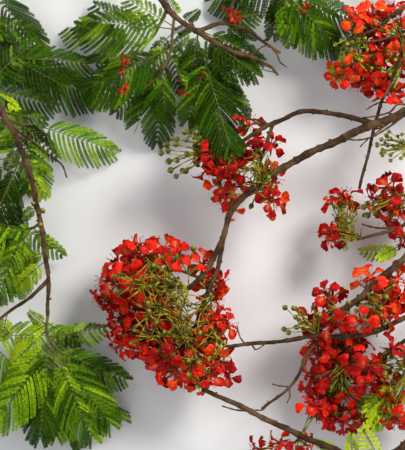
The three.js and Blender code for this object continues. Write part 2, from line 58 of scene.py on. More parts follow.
def addCamera():
    frameHeight = view["height"] * view["millimetresPerPixel"] / 1000
    place = (toOrigin[0] / 1000, toOrigin[1] / 1000, view["level"] + view["distance"])
    bpy.ops.object.camera_add(location=place, rotation=(0, 0, 0))
    added = bpy.context.object
    added.data.sensor_fit = "VERTICAL"
    added.data.sensor_height = view["sensor"]
    added.data.lens = view["sensor"] * view["distance"] / frameHeight
    added.data.clip_end = view["farthest"]
    bpy.context.scene.camera = added


addCamera()


# A wired socket: sums written with it become Math nodes
class Wire:
    def __init__(self, finish, socket):
        self.finish = finish
        self.socket = socket

    def maths(self, operation, *values):
        return self.finish.node("Math", {"operation": operation}, dict(enumerate(values)))

    def __add__(self, other):
        return self.maths("ADD", self, other)

    def __rsub__(self, other):
        return self.maths("SUBTRACT", other, self)

    def __mul__(self, other):
        return self.maths("MULTIPLY", self, other)

    __radd__ = __add__
    __rmul__ = __mul__

    def sine(self):
        return self.maths("SINE", self)

    def size(self):
        return self.maths("ABSOLUTE", self)


# One procedural finish
class Finish:
    def __init__(self, name, **constants):
        self.material = bpy.data.materials.new(name)
        self.material.use_nodes = True
        self.tree = self.material.node_tree
        self.shader = self.tree.nodes["Principled BSDF"]
        for socket, value in constants.items():
            self.shader.inputs[socket.replace("_", " ")].default_value = value

    # A node of any kind: its settings are set first, then its sockets
    def node(self, kind, settings=None, inputs=None, output=0):
        made = self.tree.nodes.new("ShaderNode" + kind)
        for key, value in (settings or {}).items():
            setattr(made, key, value)
        for key, value in (inputs or {}).items():
            self.feed(made.inputs[key], value)
        return Wire(self, made.outputs[output])

    def feed(self, socket, value):
        if isinstance(value, Wire):
            self.tree.links.new(value.socket, socket)
        else:
            socket.default_value = value

    def place(self):
        return self.node("TexCoord", output="Object")

    def mapped(self, where, **change):
        return self.node("Mapping", inputs={"Vector": where, **change})

    # A modelled shape's own flat map, whose X runs across the shape and Y along it
    def flatMap(self):
        return self.node("UVMap", {"uv_map": "flat"})

    def onFlat(self, axis):
        return self.node("SeparateXYZ", inputs={"Vector": self.flatMap()}, output=axis)

    def noise(self, where, scale, detail=4, rough=0.55):
        inputs = {"Vector": where, "Scale": scale, "Detail": detail, "Roughness": rough}
        return self.node("TexNoise", inputs=inputs)

    # A number moved from one range to 0..1
    def between(self, value, low, high):
        inputs = {"Value": value, "From Min": low, "From Max": high}
        return self.node("MapRange", {"interpolation_type": "SMOOTHSTEP"}, inputs)

    def mix(self, factor, first, second):
        first = (*first, 1) if isinstance(first, tuple) else first
        second = (*second, 1) if isinstance(second, tuple) else second
        return self.node("Mix", {"data_type": "RGBA"}, {0: factor, 6: first, 7: second}, 2)

    def colour(self, value):
        self.feed(self.shader.inputs["Base Color"], value)

    def roughness(self, value):
        self.feed(self.shader.inputs["Roughness"], value)

    def bump(self, height, strength, distance):
        normal = self.node("Bump", inputs={"Height": height, "Strength": strength, "Distance": distance})
        self.feed(self.shader.inputs["Normal"], normal)


studio = {
    "floor": 16, "floorTones": ((0.78, 0.785, 0.79), (0.80, 0.80, 0.80)), "floorPatches": 3.0,
    "lights": [  # place, size, watts, tint
        ((2.8, 2.6, 4.0), 1.8, 300, (1.0, 0.97, 0.92)),
        ((-3.0, 1.6, 3.6), 3.0, 60, (0.95, 0.98, 1.0)),
        ((0.4, -3.4, 3.2), 3.0, 40, (1.0, 1.0, 1.0)),
    ],
    "sky": (0.93, 0.96, 1.0),
    "skyStrength": 0.32,
}


def floorFinish():
    finish = Finish("studioFloor", Roughness=0.9)
    patches = finish.noise(finish.place(), studio["floorPatches"], 3)
    finish.colour(finish.mix(patches, *studio["floorTones"]))
    return finish.material


def addStudio():
    bpy.ops.mesh.primitive_plane_add(size=studio["floor"], location=(0, 0, 0))
    floor = bpy.context.object
    floor.name = "studioFloor"
    floor.data.materials.append(floorFinish())
    for place, size, watts, tint in studio["lights"]:
        bpy.ops.object.light_add(type="AREA", location=place)
        light = bpy.context.object
        light.data.size = size
        light.data.energy = watts
        light.data.color = tint
        aim = -light.location.normalized()
        light.rotation_euler = aim.to_track_quat("-Z", "Y").to_euler()
    world = bpy.context.scene.world or bpy.data.worlds.new("studio")
    bpy.context.scene.world = world
    world.use_nodes = True
    background = world.node_tree.nodes["Background"]
    background.inputs["Color"].default_value = (*studio["sky"], 1)
    background.inputs["Strength"].default_value = studio["skyStrength"]


addStudio()
bpy.context.scene.view_settings.view_transform = "Standard"
print("camera and studio ready")

# The limbs: the limb each one grows from and the share of its length, radii, and points
limbs = {
    "main_stem": (None, 0, 22, 19, [(360, 1189, 22), (289, 1083, 54), (235, 957, 96), (216, 896, 112)]),
    "right_arch_upper": ("main_stem", 1, 17, 14.5, [
        (331, 823, 142), (497, 742, 166), (630, 601, 178), (699, 420, 182)]),
    "right_arch_lower": ("right_arch_upper", 1, 14.5, 12, [
        (734, 224, 172), (736, 8, 156), (705, -200, 142), (632, -397, 142)]),
    "right_arch_tip": ("right_arch_lower", 1, 12, 5.5, [
        (553, -546, 156), (437, -617, 172), (328, -576, 190), (204, -521, 200), (106, -472, 202),
        (1, -424, 194)]),
    "left_arch": ("main_stem", 0.86, 15, 11.5, [
        (93, 920, 122), (-110, 876, 136), (-328, 823, 144), (-509, 713, 148), (-587, 562, 154)]),
    "left_bough": ("left_arch", 1, 11.5, 6, [
        (-570, 411, 160), (-520, 292, 172), (-478, 219, 180), (-444, 121, 190), (-415, -18, 198),
        (-399, -136, 200), (-400, -234, 194)]),
    "left_twig": ("left_bough", 0.89, 5, 3.5, [(-441, -183, 190), (-491, -217, 174), (-545, -261, 160)]),
    "top_bough": ("left_arch", 0.36, 11, 4, [
        (-146, 743, 158), (-135, 637, 178), (-102, 573, 190), (-63, 534, 198), (-14, 498, 202),
        (35, 472, 200), (81, 447, 194), (133, 432, 186), (179, 410, 178)]),
    "top_fork": ("top_bough", 0.67, 6, 3.5, [
        (50, 521, 200), (112, 506, 194), (158, 473, 186), (202, 446, 178)]),
    "flower_bough": ("right_arch_upper", 0.9, 12.5, 6, [
        (616, 342, 190), (520, 290, 198), (429, 254, 204), (342, 215, 208), (260, 177, 212),
        (178, 130, 214), (116, 84, 216), (73, 31, 216), (50, -38, 214), (14, -113, 212),
        (-37, -164, 206)]),
    "flower_fork": ("flower_bough", 0.84, 6, 5, [
        (42, -105, 207), (24, -149, 202), (1, -205, 198), (-17, -257, 194), (-40, -288, 188)]),
    "upper_bough": ("flower_bough", 0.34, 7, 5, [
        (363, 282, 200), (312, 292, 200), (255, 292, 200), (209, 274, 200), (168, 257, 200),
        (127, 231, 197), (86, 208, 192)]),
    "upper_twig": ("upper_bough", 0.71, 4.5, 4.5, [(171, 226, 190), (156, 185, 182)]),
    "right_bough": ("right_arch_lower", 0.34, 11.5, 7.5, [
        (643, 34, 174), (521, -87, 188), (453, -144, 194), (404, -190, 196), (358, -221, 192)]),
    "mid_bough": ("right_arch_lower", 0.24, 7, 4, [
        (640, 85, 158), (523, 0, 164), (474, -18, 168), (415, -36, 166)]),
    "low_bough": ("right_arch_lower", 0.62, 8.5, 4.5, [
        (630, -184, 152), (523, -243, 162), (453, -274, 168), (380, -291, 174), (305, -286, 178),
        (230, -298, 184), (143, -306, 188), (66, -314, 186)]),
    "low_twig": ("low_bough", 0.66, 4.8, 3, [
        (269, -338, 176), (254, -382, 172), (221, -426, 166), (154, -479, 156)]),
    "low_right_bough": ("right_arch_lower", 0.72, 7, 5, [
        (621, -241, 146), (524, -303, 152), (480, -336, 154), (439, -368, 150)]),
    "top_right_bough": ("right_arch_upper", 0.67, 6.5, 5, [
        (521, 563, 190), (466, 524, 196), (420, 499, 196), (377, 478, 190)]),
    "top_right_twig": ("right_arch_upper", 0.86, 5, 3.5, [
        (592, 518, 174), (523, 501, 170), (438, 470, 168), (358, 460, 162)]),
    "long_twig": ("right_arch_upper", 0.79, 6, 4.5, [
        (595, 469, 146), (524, 450, 132), (472, 336, 128), (449, 252, 130), (410, 94, 130)]),
}

# The flower heads: limb and share, compass heading, dip, length, flowers, buds, and the tones that
# their flowers draw from (s scarlet; o sunlit orange, painted sunlight; c shaded crimson, painted shade)
heads = {
    "blooms_great_upper": ("flower_bough", 1, 172, 26, 185, 9, 1, "sscso"),
    "blooms_great_top": ("flower_bough", 0.96, 160, 34, 110, 5, 1, "soso"),
    "blooms_great_lower": ("flower_fork", 1, 180, 26, 160, 9, 1, "cscs"),
    "blooms_great_right": ("low_bough", 1, 158, 30, 90, 6, 1, "soco"),
    "blooms_great_foot": ("right_arch_tip", 1, 108, 30, 60, 5, 0, "sco"),
    "blooms_middle_left": ("upper_bough", 1, 195, 26, 75, 5, 5, "scoc"),
    "blooms_middle": ("upper_twig", 1, 255, 40, 50, 5, 1, "csc"),
    "blooms_middle_right": ("flower_bough", 0.66, -115, 25, 35, 3, 1, "cso"),
    "blooms_high": ("top_right_bough", 1, 45, 30, 60, 5, 3, "oso"),
    "blooms_high_low": ("top_right_twig", 1, -30, 24, 80, 6, 2, "sos"),
    "blooms_high_right": ("top_right_twig", 0.48, -80, 20, 60, 4, 0, "sos"),
    "blooms_right_small": ("mid_bough", 1, 150, 20, 60, 4, 3, "cs"),
    "blooms_right_edge": ("mid_bough", 0.58, 135, 25, 70, 6, 1, "cco"),
    "blooms_low_left": ("right_bough", 1, 205, 30, 45, 5, 1, "cc"),
    "blooms_low_right": ("right_bough", 0.85, -50, 35, 70, 5, 1, "sco"),
    "blooms_low": ("low_bough", 0.56, -102, 32, 160, 6, 1, "cccs"),
    "blooms_low_middle": ("low_right_bough", 1, 168, 22, 90, 6, 2, "ccc"),
    "blooms_corner": ("right_arch_lower", 0.93, 200, 8, 120, 6, 1, "cso"),
    "blooms_bottom": ("right_arch_tip", 0.64, -135, 40, 40, 4, 0, "cs"),
    "buds_low": ("low_bough", 0.67, 130, 0, 34, 0, 7, "s"),
}

shorterStalks = {  # heads with shorter flower stalks, as a share of the full length
    "blooms_great_right": 0.85, "blooms_great_foot": 0.8, "blooms_middle_left": 0.85,
    "blooms_middle": 0.8, "blooms_middle_right": 0.7, "blooms_right_small": 0.65,
    "blooms_low_left": 0.75, "blooms_bottom": 0.8, "blooms_right_edge": 0.85,
}

# The sprays of leaves: limb and share, points of the stem, and heading, length and tone of each
# leaf (s shade, d deep, f fresh, b bright, y sunlit)
sprays = {
    "leaves_corner": ("left_arch", 0.94, [(-603, 636, 146), (-614, 683, 140)],
        [(-48, 300, "d"), (-75, 280, "s"), (150, 280, "d")]),
    "leaves_upper_left": ("left_bough", 0.19, [(-526, 428, 142), (-506, 445, 134)],
        [(-24, 250, "s"), (-2, 280, "d"), (190, 270, "f")]),
    "leaves_left_twig": ("left_bough", 0.36, [(-470, 262, 170), (-440, 262, 162)],
        [(-15, 222, "b"), (98, 220, "s"), (-75, 190, "b")]),
    "leaves_top_left": ("top_bough", 0.52, [(-131, 487, 160), (-185, 461, 146)],
        [(205, 220, "d"), (165, 210, "f"), (140, 190, "d")]),
    "leaves_top_middle": ("top_bough", 0.56, [(-78, 494, 186), (-84, 446, 174), (-107, 398, 160)],
        [(-92, 190, "d"), (-118, 190, "d"), (-66, 220, "f")]),
    "leaves_top_under": ("top_bough", 0.74, [(19, 446, 172), (9, 422, 158)],
        [(-50, 180, "d"), (-85, 220, "d")]),
    "leaves_top_tip": ("top_bough", 1, [(196, 392, 140)], [(-154, 220, "d"), (163, 240, "f")]),
    "leaves_top_right": ("right_arch_upper", 0.21, [(268, 700, 150), (216, 603, 158)],
        [(-14, 220, "d"), (-50, 200, "f"), (-108, 160, "d"), (-162, 240, "d")]),
    "leaves_left_high": ("left_bough", 0.54, [(-471, 157, 172), (-493, 173, 158)],
        [(-97, 270, "s"), (178, 260, "d"), (130, 200, "f")]),
    "leaves_left_middle": ("left_bough", 0.71, [(-445, -10, 176), (-467, -3, 162)],
        [(-34, 130, "b"), (-112, 190, "b"), (172, 260, "f")]),
    "leaves_left_low": ("left_twig", 1, [(-572, -288, 146)],
        [(3, 240, "b"), (-46, 290, "f"), (-95, 260, "d"), (172, 230, "f")]),
    "leaves_low_tip": ("left_bough", 1, [(-403, -278, 186), (-383, -322, 174)],
        [(-29, 210, "d"), (-50, 280, "f"), (-84, 270, "d"), (-122, 260, "b"), (6, 140, "f")]),
    "leaf_low_right": ("low_right_bough", 0.72, [(529, -366, 138), (514, -419, 126)], [(-150, 150, "y")]),
    "leaf_right": ("mid_bough", 0.78, [(517, -39, 146), (513, -65, 138)], [(178, 100, "y")]),
    "leaves_arch_left": ("left_arch", 0.6, [(-355, 878, 126)], [(60, 260, "d"), (200, 280, "f")]),
    "leaves_arch_right": ("right_arch_upper", 0.6, [(615, 744, 150)], [(75, 250, "f"), (10, 270, "d")]),
    "leaves_arch_low": ("right_arch_lower", 0.47, [(786, 0, 134)], [(20, 250, "d"), (-50, 260, "f")]),
}

leaf = {
    "fullLength": 240, "length": (0.94, 0.12), "stalkRadius": 3, "steps": 5, "tries": 8,
    "turn": (8, 3),  # degrees that its heading may differ, and more with each try
    "rest": (14, 62), "arch": 1.8, "roll": 34,  # the level of its tip, how it comes down, its tilt
    "hang": 0.36,  # how far the pinnae hang to the side that was lower on the tree
    "pairs": 5, "firstPair": 0.17, "inPair": 0.6, "crowding": 0.6, "bladeThickness": 3.4,
    "pinnaLength": 98, "pinnaWidth": 34, "pinnaSize": (0.14, 0.72), "pinnaReach": 1.15,
    "sweep": (14, 34),  # degrees that a pinna leans forward at the foot, and more at the tip
    "droop": (0.1, 0.16),
}
bloom = {
    "radius": 46, "facingUp": 1.1, "spacing": 72, "roomIn": 0.3, "roomOut": 0.75, "roomRadius": 0.4,
    "longStalk": 78, "shortStalk": 48, "stalkRadius": 2.4, "bareStalk": 12, "reach": (0.88, 0.24),
    "petalLift": (0.34, 0.62), "petalReach": (0.9, 0.2),
    "on": (0.3, 0.68), "tries": 7, "eachTry": 0.08,
    "start": 0, "step": 0.9, "wobble": 0.5, "lean": (96, 78, 16),  # the habit that wayOut reads
}
bud = {
    "length": 24, "radius": 8.5, "stalk": 62, "stalkRadius": 1.9, "bareStalk": 10, "reach": (0.7, 0.5),
    "fromFlower": 0.6, "fromBud": 2.2, "fineShare": 0.8, "on": (0.45, 0.53), "tries": 5,
    "start": 0.5, "step": 1, "wobble": 0.6, "lean": (70, 52, 14),
}
stemRadii = {"spray": (4, 3), "head": (4.4, 3)}
headFlatness = 0.7  # how high a head is beside its width
groundGap, roomGap = 1.5, 1
roomRods = {"limbRun": 30, "head": 3, "spray": 4}  # millimetres to a rod of a limb, rods to a stem
seeds = {  # each a first seed, and how much is added for the next head or spray
    "heads": (101, 37), "sprays": (907, 53), "full heads": (4001, 0), "lone flowers": (6007, 0),
    "placed leaves": (7013, 0), "fellows": (7013, 97), "pinnae": (15013, 31), "petals": (27011, 43),
    "young buds": (33013, 0),
}


# The same row of numbers from 0 to 1 for the same purpose
def seededNumbers(purpose, i=0):
    first, step = seeds[purpose]
    state = first + step * i

    def draw():
        nonlocal state
        state = state * 16807 % 2147483647
        return (state - 1) / 2147483646

    return draw


def unit(vector):
    vector = np.asarray(vector, float)
    return vector / norm(vector, axis=-1, keepdims=True)


def heading(turn, rise=0.0):
    level = cos(rise)
    return np.array([cos(turn) * level, sin(turn) * level, sin(rise)])


def blendOf(first, second, share):
    return first + (second - first) * share


# A drawn number: a least, and up to so much more
def drawn(draw, least, more):
    return least + more * draw()


def turned(vector, axis, angle):
    return (
        vector * cos(angle)
        + np.cross(axis, vector) * sin(angle)
        + axis * np.dot(axis, vector) * (1 - cos(angle))
    )


# The number of the point that is nearest to a place, seen from above where axes is 2
def nearest(points, place, axes=3):
    return int(np.argmin(norm((points - place)[:, :axes], axis=1)))


# A smooth curve through points, read by share of its length
class Curve:
    def __init__(self, points):
        self.points = np.array(points, float)
        first = 2 * self.points[0] - self.points[1]
        last = 2 * self.points[-1] - self.points[-2]
        self.padded = np.vstack([first, self.points, last])
        self.steps = np.linspace(0, 1, 201)
        gaps = norm(np.diff(self.raw(self.steps), axis=0), axis=1)
        self.lengths = np.concatenate([[0], np.cumsum(gaps)])
        self.length = self.lengths[-1]

    def raw(self, t):
        place = np.atleast_1d(t) * (len(self.points) - 1)
        k = np.minimum(place.astype(int), len(self.points) - 2)
        w = (place - k)[:, None]
        x0, x1, x2, x3 = (self.padded[k + i] for i in range(4))
        t0, t1 = (x2 - x0) / 2, (x3 - x1) / 2
        return x1 + t0 * w + (3 * (x2 - x1) - 2 * t0 - t1) * w**2 + (2 * (x1 - x2) + t0 + t1) * w**3

    def at(self, share):
        found = self.raw(np.interp(np.atleast_1d(share) * self.length, self.lengths, self.steps))
        return found if np.ndim(share) else found[0]

    def tangent(self, share):
        t = np.interp(np.atleast_1d(share) * self.length, self.lengths, self.steps)
        found = unit(self.raw(np.minimum(t + 1e-4, 1)) - self.raw(np.maximum(t - 1e-4, 0)))
        return found if np.ndim(share) else found[0]


# Room: what each piece takes up, as rods with round ends, so that nothing grows into another
class Room:
    def __init__(self, most):
        self.count = 0
        self.owners = np.zeros(most, int)
        self.ends = np.zeros((most, 2, 3))
        self.radii = np.zeros(most)
        self.names = {}

    def take(self, owner, start, end, radius):
        self.owners[self.count] = self.names.setdefault(owner, len(self.names))
        self.ends[self.count] = start, end
        self.radii[self.count] = radius
        self.count += 1

    def takeCurve(self, owner, curve, base, tip, steps):
        points = curve.at(np.arange(steps + 1) / steps)
        for i in range(steps):
            self.take(owner, points[i], points[i + 1], blendOf(base, tip, i / steps))

    def isClear(self, owner, start, end, radius):
        others = self.owners[: self.count] != self.names.get(owner, -1)
        rods = self.ends[: self.count][others]
        apart = distances(start, end, rods[:, 0], rods[:, 1])
        return bool(np.all(apart > radius + self.radii[: self.count][others] + roomGap))


# The shortest distances from one straight length to many
def distances(a0, a1, b0, b1):
    a, b, gap = a1 - a0, b1 - b0, a0 - b0
    aa, bb, ab = a @ a, (b * b).sum(1), b @ a
    ag, bg = gap @ a, (b * gap).sum(1)
    spread = aa * bb - ab * ab
    s = np.where(spread > 1e-9, np.clip((ab * bg - ag * bb) / np.where(spread > 1e-9, spread, 1), 0, 1), 0)
    t = (ab * s + bg) / bb
    off = (t < 0) | (t > 1)
    t = np.clip(t, 0, 1)
    s = np.where(off, np.clip((ab * t - ag) / aa, 0, 1), s)
    return norm(gap + s[:, None] * a - t[:, None] * b, axis=1)


room, wood = Room(40000), Room(2000)  # wood holds the limbs alone
curves, stems = {}, {}


def growLimbs():
    for name, (parent, share, base, tip, through) in limbs.items():
        start = [curves[parent].at(share)] if parent else []
        curves[name] = Curve([*start, *through])
        for space in (room, wood):
            space.takeCurve(name, curves[name], base, tip, round(curves[name].length / roomRods["limbRun"]))
    for name, (limb, share, turn, dip, length, *_) in heads.items():
        start = curves[limb].at(share)
        stems[name] = Curve([start, start + length * heading(radians(turn), -radians(dip))])
        room.takeCurve(name, stems[name], *stemRadii["head"], roomRods["head"])
    for name, (limb, share, through, _) in sprays.items():
        stems[name] = Curve([curves[limb].at(share), *through])
        room.takeCurve(name, stems[name], *stemRadii["spray"], roomRods["spray"])


# A leaf's stalk arches from its foot down to rest
def leafLine(plan, share):
    share = np.atleast_1d(share)[:, None]
    drop = (plan["rest"] - plan["base"][2]) * share ** leaf["arch"]
    return plan["base"] + plan["out"] * plan["length"] * share + up * drop


# The pinnae are longest at the middle of a leaf
def pinnaSize(share):
    start, run = leaf["pinnaSize"]
    return sin(pi * (start + run * share))


# Which way the leaf and its pinna run, and how far the pinna reaches
def pinnaDirection(plan, share, side, droop, extra=0.0):
    ahead, behind = leafLine(plan, [share + 0.01, share - 0.01])
    along = unit(ahead - behind)
    across = turned(unit(np.cross(along, up)), along, plan["roll"])
    atFoot, more = leaf["sweep"]
    sweep = radians(atFoot + more * share + extra)
    direction = across * side * cos(sweep) + along * sin(sweep) - up * droop
    direction = direction - np.array([0, leaf["hang"], 0])
    return along, unit(direction), min(leaf["pinnaReach"], norm(direction))


def planLeaf(owner, base, turn, length, draw, lift=0.0):
    plan = {
        "base": base, "out": heading(turn), "turn": turn, "length": length,
        "rest": blendOf(*leaf["rest"], draw()) + lift,
        "roll": radians(leaf["roll"] * (draw() - 0.5)),
        "scale": min(1, length / leaf["fullLength"]),
        "pinnae": [],
    }
    steps = leaf["steps"]
    line = plan["line"] = leafLine(plan, np.arange(steps + 1) / steps)
    plan["blocked"] = any(
        not room.isClear(owner, line[i], line[i + 1], leaf["stalkRadius"]) for i in range(1, steps)
    )
    for pair in range(leaf["pairs"]):
        share = leaf["firstPair"] + (1 - leaf["firstPair"]) * (pair + leaf["inPair"]) / leaf["pairs"]
        for side in (-1, 1):
            droop = drawn(draw, *leaf["droop"])
            _, direction, reach = pinnaDirection(plan, share, side, droop)
            root = leafLine(plan, share)[0]
            plan["pinnae"].append({
                "pair": pair, "side": side, "droop": droop, "root": root, "direction": direction,
                "room": leaf["pinnaWidth"] * sqrt(plan["scale"]) / 2,
                "tip": root + direction * leaf["pinnaLength"] * pinnaSize(share) * plan["scale"] * reach,
            })
    return plan


# The pinnae of a planned leaf that have room among the blades of their own spray and among the rest
def roomyPinnae(name, plan, blades):
    kept = []
    for pinna in plan["pinnae"]:
        wide = pinna["room"]
        inner = pinna["root"] + pinna["direction"] * wide
        crowded = any(
            distances(inner, pinna["tip"], other["root"][None], other["tip"][None])[0]
            <= leaf["crowding"] * (wide + other["room"])
            for other in blades
        )
        high = pinna["tip"][2] > groundGap + leaf["bladeThickness"]
        if high and not crowded and room.isClear(name, inner, pinna["tip"], wide):
            kept.append(pinna)
    return kept


def planSpray(name, leaves, draw):
    grownLeaves, blades = [], []
    swing, eachTry = leaf["turn"]
    for i, (degrees, fullGrown, tone) in enumerate(leaves):
        base = stems[name].at(1 - 0.5 * i / len(leaves))
        length = fullGrown * drawn(draw, *leaf["length"])
        for attempt in range(leaf["tries"]):
            turn = radians(degrees + (swing + eachTry * attempt) * (draw() - 0.5))
            plan = planLeaf(name, base, turn, length, draw)
            if not plan["blocked"]:
                break
        else:
            continue
        plan["pinnae"] = roomyPinnae(name, plan, blades)
        plan["tone"] = tone
        for start, end in zip(plan["line"], plan["line"][1:]):
            room.take(name, start, end, leaf["stalkRadius"])
        for pinna in plan["pinnae"]:
            room.take(name, pinna["root"], pinna["tip"], pinna["room"])
        blades += plan["pinnae"]
        grownLeaves.append(plan)
    return grownLeaves


def planPetals(facing, turn, draw):
    beside = np.array([1.0, 0, 0]) if abs(facing[2]) > 0.9 else up
    first = unit(np.cross(facing, beside))
    second = np.cross(first, facing)
    liftMost, lower = bloom["petalLift"]

    def around(angle):
        return first * cos(angle) + second * sin(angle)

    petals = []
    for i in range(5):
        middle = turn + 2 * pi * (i + 0.5) / 5
        lift = liftMost * (draw() - lower)
        petals.append({
            "notch": around(turn + 2 * pi * i / 5),
            "along": unit(around(middle) + facing * lift),
            "across": around(middle + pi / 2),
            "reach": bloom["radius"] * drawn(draw, *bloom["petalReach"]),
        })
    return petals


# The way from its stem for a head's flower or bud number i, by the habit of its kind
def wayOut(stem, habit, i, share, attempt, draw):
    turn = (i + habit["start"]) * goldenAngle + attempt * habit["step"] + habit["wobble"] * draw()
    atFoot, less, sway = habit["lean"]
    lean = radians(atFoot - less * share + sway * (draw() - 0.5))
    axis = stem.tangent(1)
    side = unit(np.cross(axis, up))
    third = np.cross(side, axis)
    return unit(
        axis * cos(lean)
        + side * sin(lean) * cos(turn)
        + third * headFlatness * sin(lean) * sin(turn)
    )


# The room that a petal takes: its inner and outer ends and its radius
def petalRoom(centre, petal):
    inner = centre + petal["along"] * petal["reach"] * bloom["roomIn"]
    outer = centre + petal["along"] * petal["reach"] * bloom["roomOut"]
    return inner, outer, petal["reach"] * bloom["roomRadius"]


def flowerFits(name, flower, flowers):
    centre, direction = flower["centre"], flower["direction"]
    if any(norm(other["centre"] - centre) <= bloom["spacing"] for other in flowers):
        return False
    stalkStart = flower["base"] + direction * bloom["bareStalk"]
    stalkEnd = centre - direction * bloom["stalkRadius"]
    if not room.isClear(name, stalkStart, stalkEnd, bloom["stalkRadius"]):
        return False
    for petal in flower["petals"]:
        inner, outer, wide = petalRoom(centre, petal)
        if outer[2] <= wide + groundGap or not room.isClear(name, inner, outer, wide):
            return False
    return True


def growFlowers(name, count, draw):
    stem, flowers = stems[name], []
    start, run = bloom["on"]
    for i in range(count):
        share = (i + 0.5) / count
        base = stem.at(start + run * share)
        fullStalk = blendOf(bloom["longStalk"], bloom["shortStalk"], share) * shorterStalks.get(name, 1)
        for attempt in range(bloom["tries"]):
            direction = wayOut(stem, bloom, i, share, attempt, draw)
            stalk = fullStalk * (drawn(draw, *bloom["reach"]) + bloom["eachTry"] * attempt)
            centre = base + direction * stalk
            facing = unit(direction + up * bloom["facingUp"])
            flower = {
                "head": name, "base": base, "centre": centre, "direction": direction,
                "facing": facing, "petals": planPetals(facing, 6 * draw(), draw),
            }
            if flowerFits(name, flower, flowers):
                room.take(name, base, centre, bloom["stalkRadius"])
                for petal in flower["petals"]:
                    _, outer, wide = petalRoom(centre, petal)
                    room.take(name, centre, outer, wide)
                flowers.append(flower)
                break
    return flowers


def growBuds(name, count, draw, flowers):
    stem, buds = stems[name], []
    start, run = bud["on"]
    for i in range(count):
        share = (i + 0.5) / count
        base = stem.at(start + run * share)
        for attempt in range(bud["tries"]):
            direction = wayOut(stem, bud, i, share, attempt, draw)
            root = base + direction * bud["stalk"] * drawn(draw, *bud["reach"])
            tip = root + direction * bud["length"]
            fromFlower, fromBud = bud["fromFlower"] * bloom["radius"], bud["fromBud"] * bud["radius"]
            if (
                tip[2] > groundGap + bud["radius"]
                and all(norm(f["centre"] - root) > fromFlower for f in flowers)
                and all(norm(b["root"] - root) > fromBud for b in buds)
                and room.isClear(name, base + direction * bud["bareStalk"], root, bud["stalkRadius"])
                and room.isClear(name, root, tip, bud["radius"])
            ):
                room.take(name, base, root, bud["stalkRadius"])
                room.take(name, root, tip, bud["radius"])
                buds.append({"base": base, "root": root, "direction": direction})
                break
    return buds


growLimbs()
flowersOf, budsOf, leavesOf = {}, {}, {}
for i, name in enumerate(heads):
    draw = seededNumbers("heads", i)
    flowersOf[name] = growFlowers(name, heads[name][5], draw)
    budsOf[name] = growBuds(name, heads[name][6], draw, flowersOf[name])
for i, name in enumerate(sprays):
    leavesOf[name] = planSpray(name, sprays[name][3], seededNumbers("sprays", i))
print("grown as the solids:", sum(map(len, flowersOf.values())), "flowers,",
      sum(map(len, budsOf.values())), "buds,", sum(map(len, leavesOf.values())), "leaves")

# Heads that are closer in the photo than the rule makes them: the share of each stalk that is kept, and
# the size of the petals
closerHeads = {
    "blooms_great_upper": (0.86, 1.0), "blooms_great_top": (0.78, 0.95), "blooms_great_lower": (0.92, 1.0),
    "blooms_great_right": (0.82, 0.9), "blooms_great_foot": (0.86, 0.92), "blooms_middle_left": (0.84, 0.88),
    "blooms_middle": (0.86, 0.92), "blooms_middle_right": (0.78, 0.85), "blooms_right_small": (0.44, 0.6),
    "blooms_low_left": (0.88, 0.95), "blooms_bottom": (0.82, 0.84), "blooms_high": (0.68, 0.9),
    "blooms_high_low": (0.74, 0.9),
}
for name, (share, size) in closerHeads.items():
    for flower in flowersOf[name]:
        flower["centre"] = blendOf(flower["base"], flower["centre"], share)
        for petal in flower["petals"]:
            petal["reach"] *= size
    for one in budsOf[name]:
        one["root"] = blendOf(one["base"], one["root"], share)


# How high the things placed by photo pixels are taken to be
levels = {"twig": 190, "fullHead": 195, "leafFoot": 170, "leafTip": 60}


# The place at a level that the photo shows at a pixel
def fromPhoto(x, y, z):
    scale = view["millimetresPerPixel"]
    nearer = 1 - (z / 1000 - view["level"]) / view["distance"]
    return np.array([(x - view["width"] / 2) * scale * nearer, (view["height"] / 2 - y) * scale * nearer, z])


# A drawn place within a circle in the photo, at a level
def spotWithin(x, y, radius, level, draw):
    turn, out = 2 * pi * draw(), radius * sqrt(draw())
    return fromPhoto(x + out * cos(turn), y + out * sin(turn), level)


# A twig from the nearest place on its limb or stem, through photo pixels, to a higher tip
def twigCurve(limb, spots, rise):
    along = (curves.get(limb) or stems[limb]).at(np.linspace(0, 1, 300))
    foot = along[nearest(along, fromPhoto(*spots[0], levels["twig"]), 2)]
    steps = len(spots) - 1
    return Curve([foot] + [
        fromPhoto(*spot, foot[2] + rise * (i + 1) / steps) for i, spot in enumerate(spots[1:])
    ])


# Twigs that carry a few flowers or buds: limb or stem, points in photo pixels, rise, and radii
carriers = {
    "hanging": ("leaves_top_middle", [(160, 66), (144, 60), (127, 54), (124, 70), (125, 92)], 24, (2.2, 1.4)),
    "drooping": ("leaves_top_middle", [(167, 66), (176, 80), (187, 82)], 24, (3.0, 1.6)),
    "forked": ("top_fork", [(227, 21), (230, 9), (236, -2), (243, -12)], 0, (5.0, 3.4)),
    "right_edge": ("flower_bough", [(428, 101), (424, 122), (409, 147)], 4, (3.4, 2.2)),
    "corner": ("leaves_top_right", [(296, -6), (303, 2)], 22, (2.4, 1.6)),
    "bud_high": ("left_bough", [(30, 207), (32, 206)], 6, (2.4, 1.8)),
    "bud_middle": ("left_bough", [(34, 217), (38, 215)], 6, (2.4, 1.8)),
    "bud_low": ("left_bough", [(36, 228), (38, 227)], 6, (2.4, 1.8)),
}
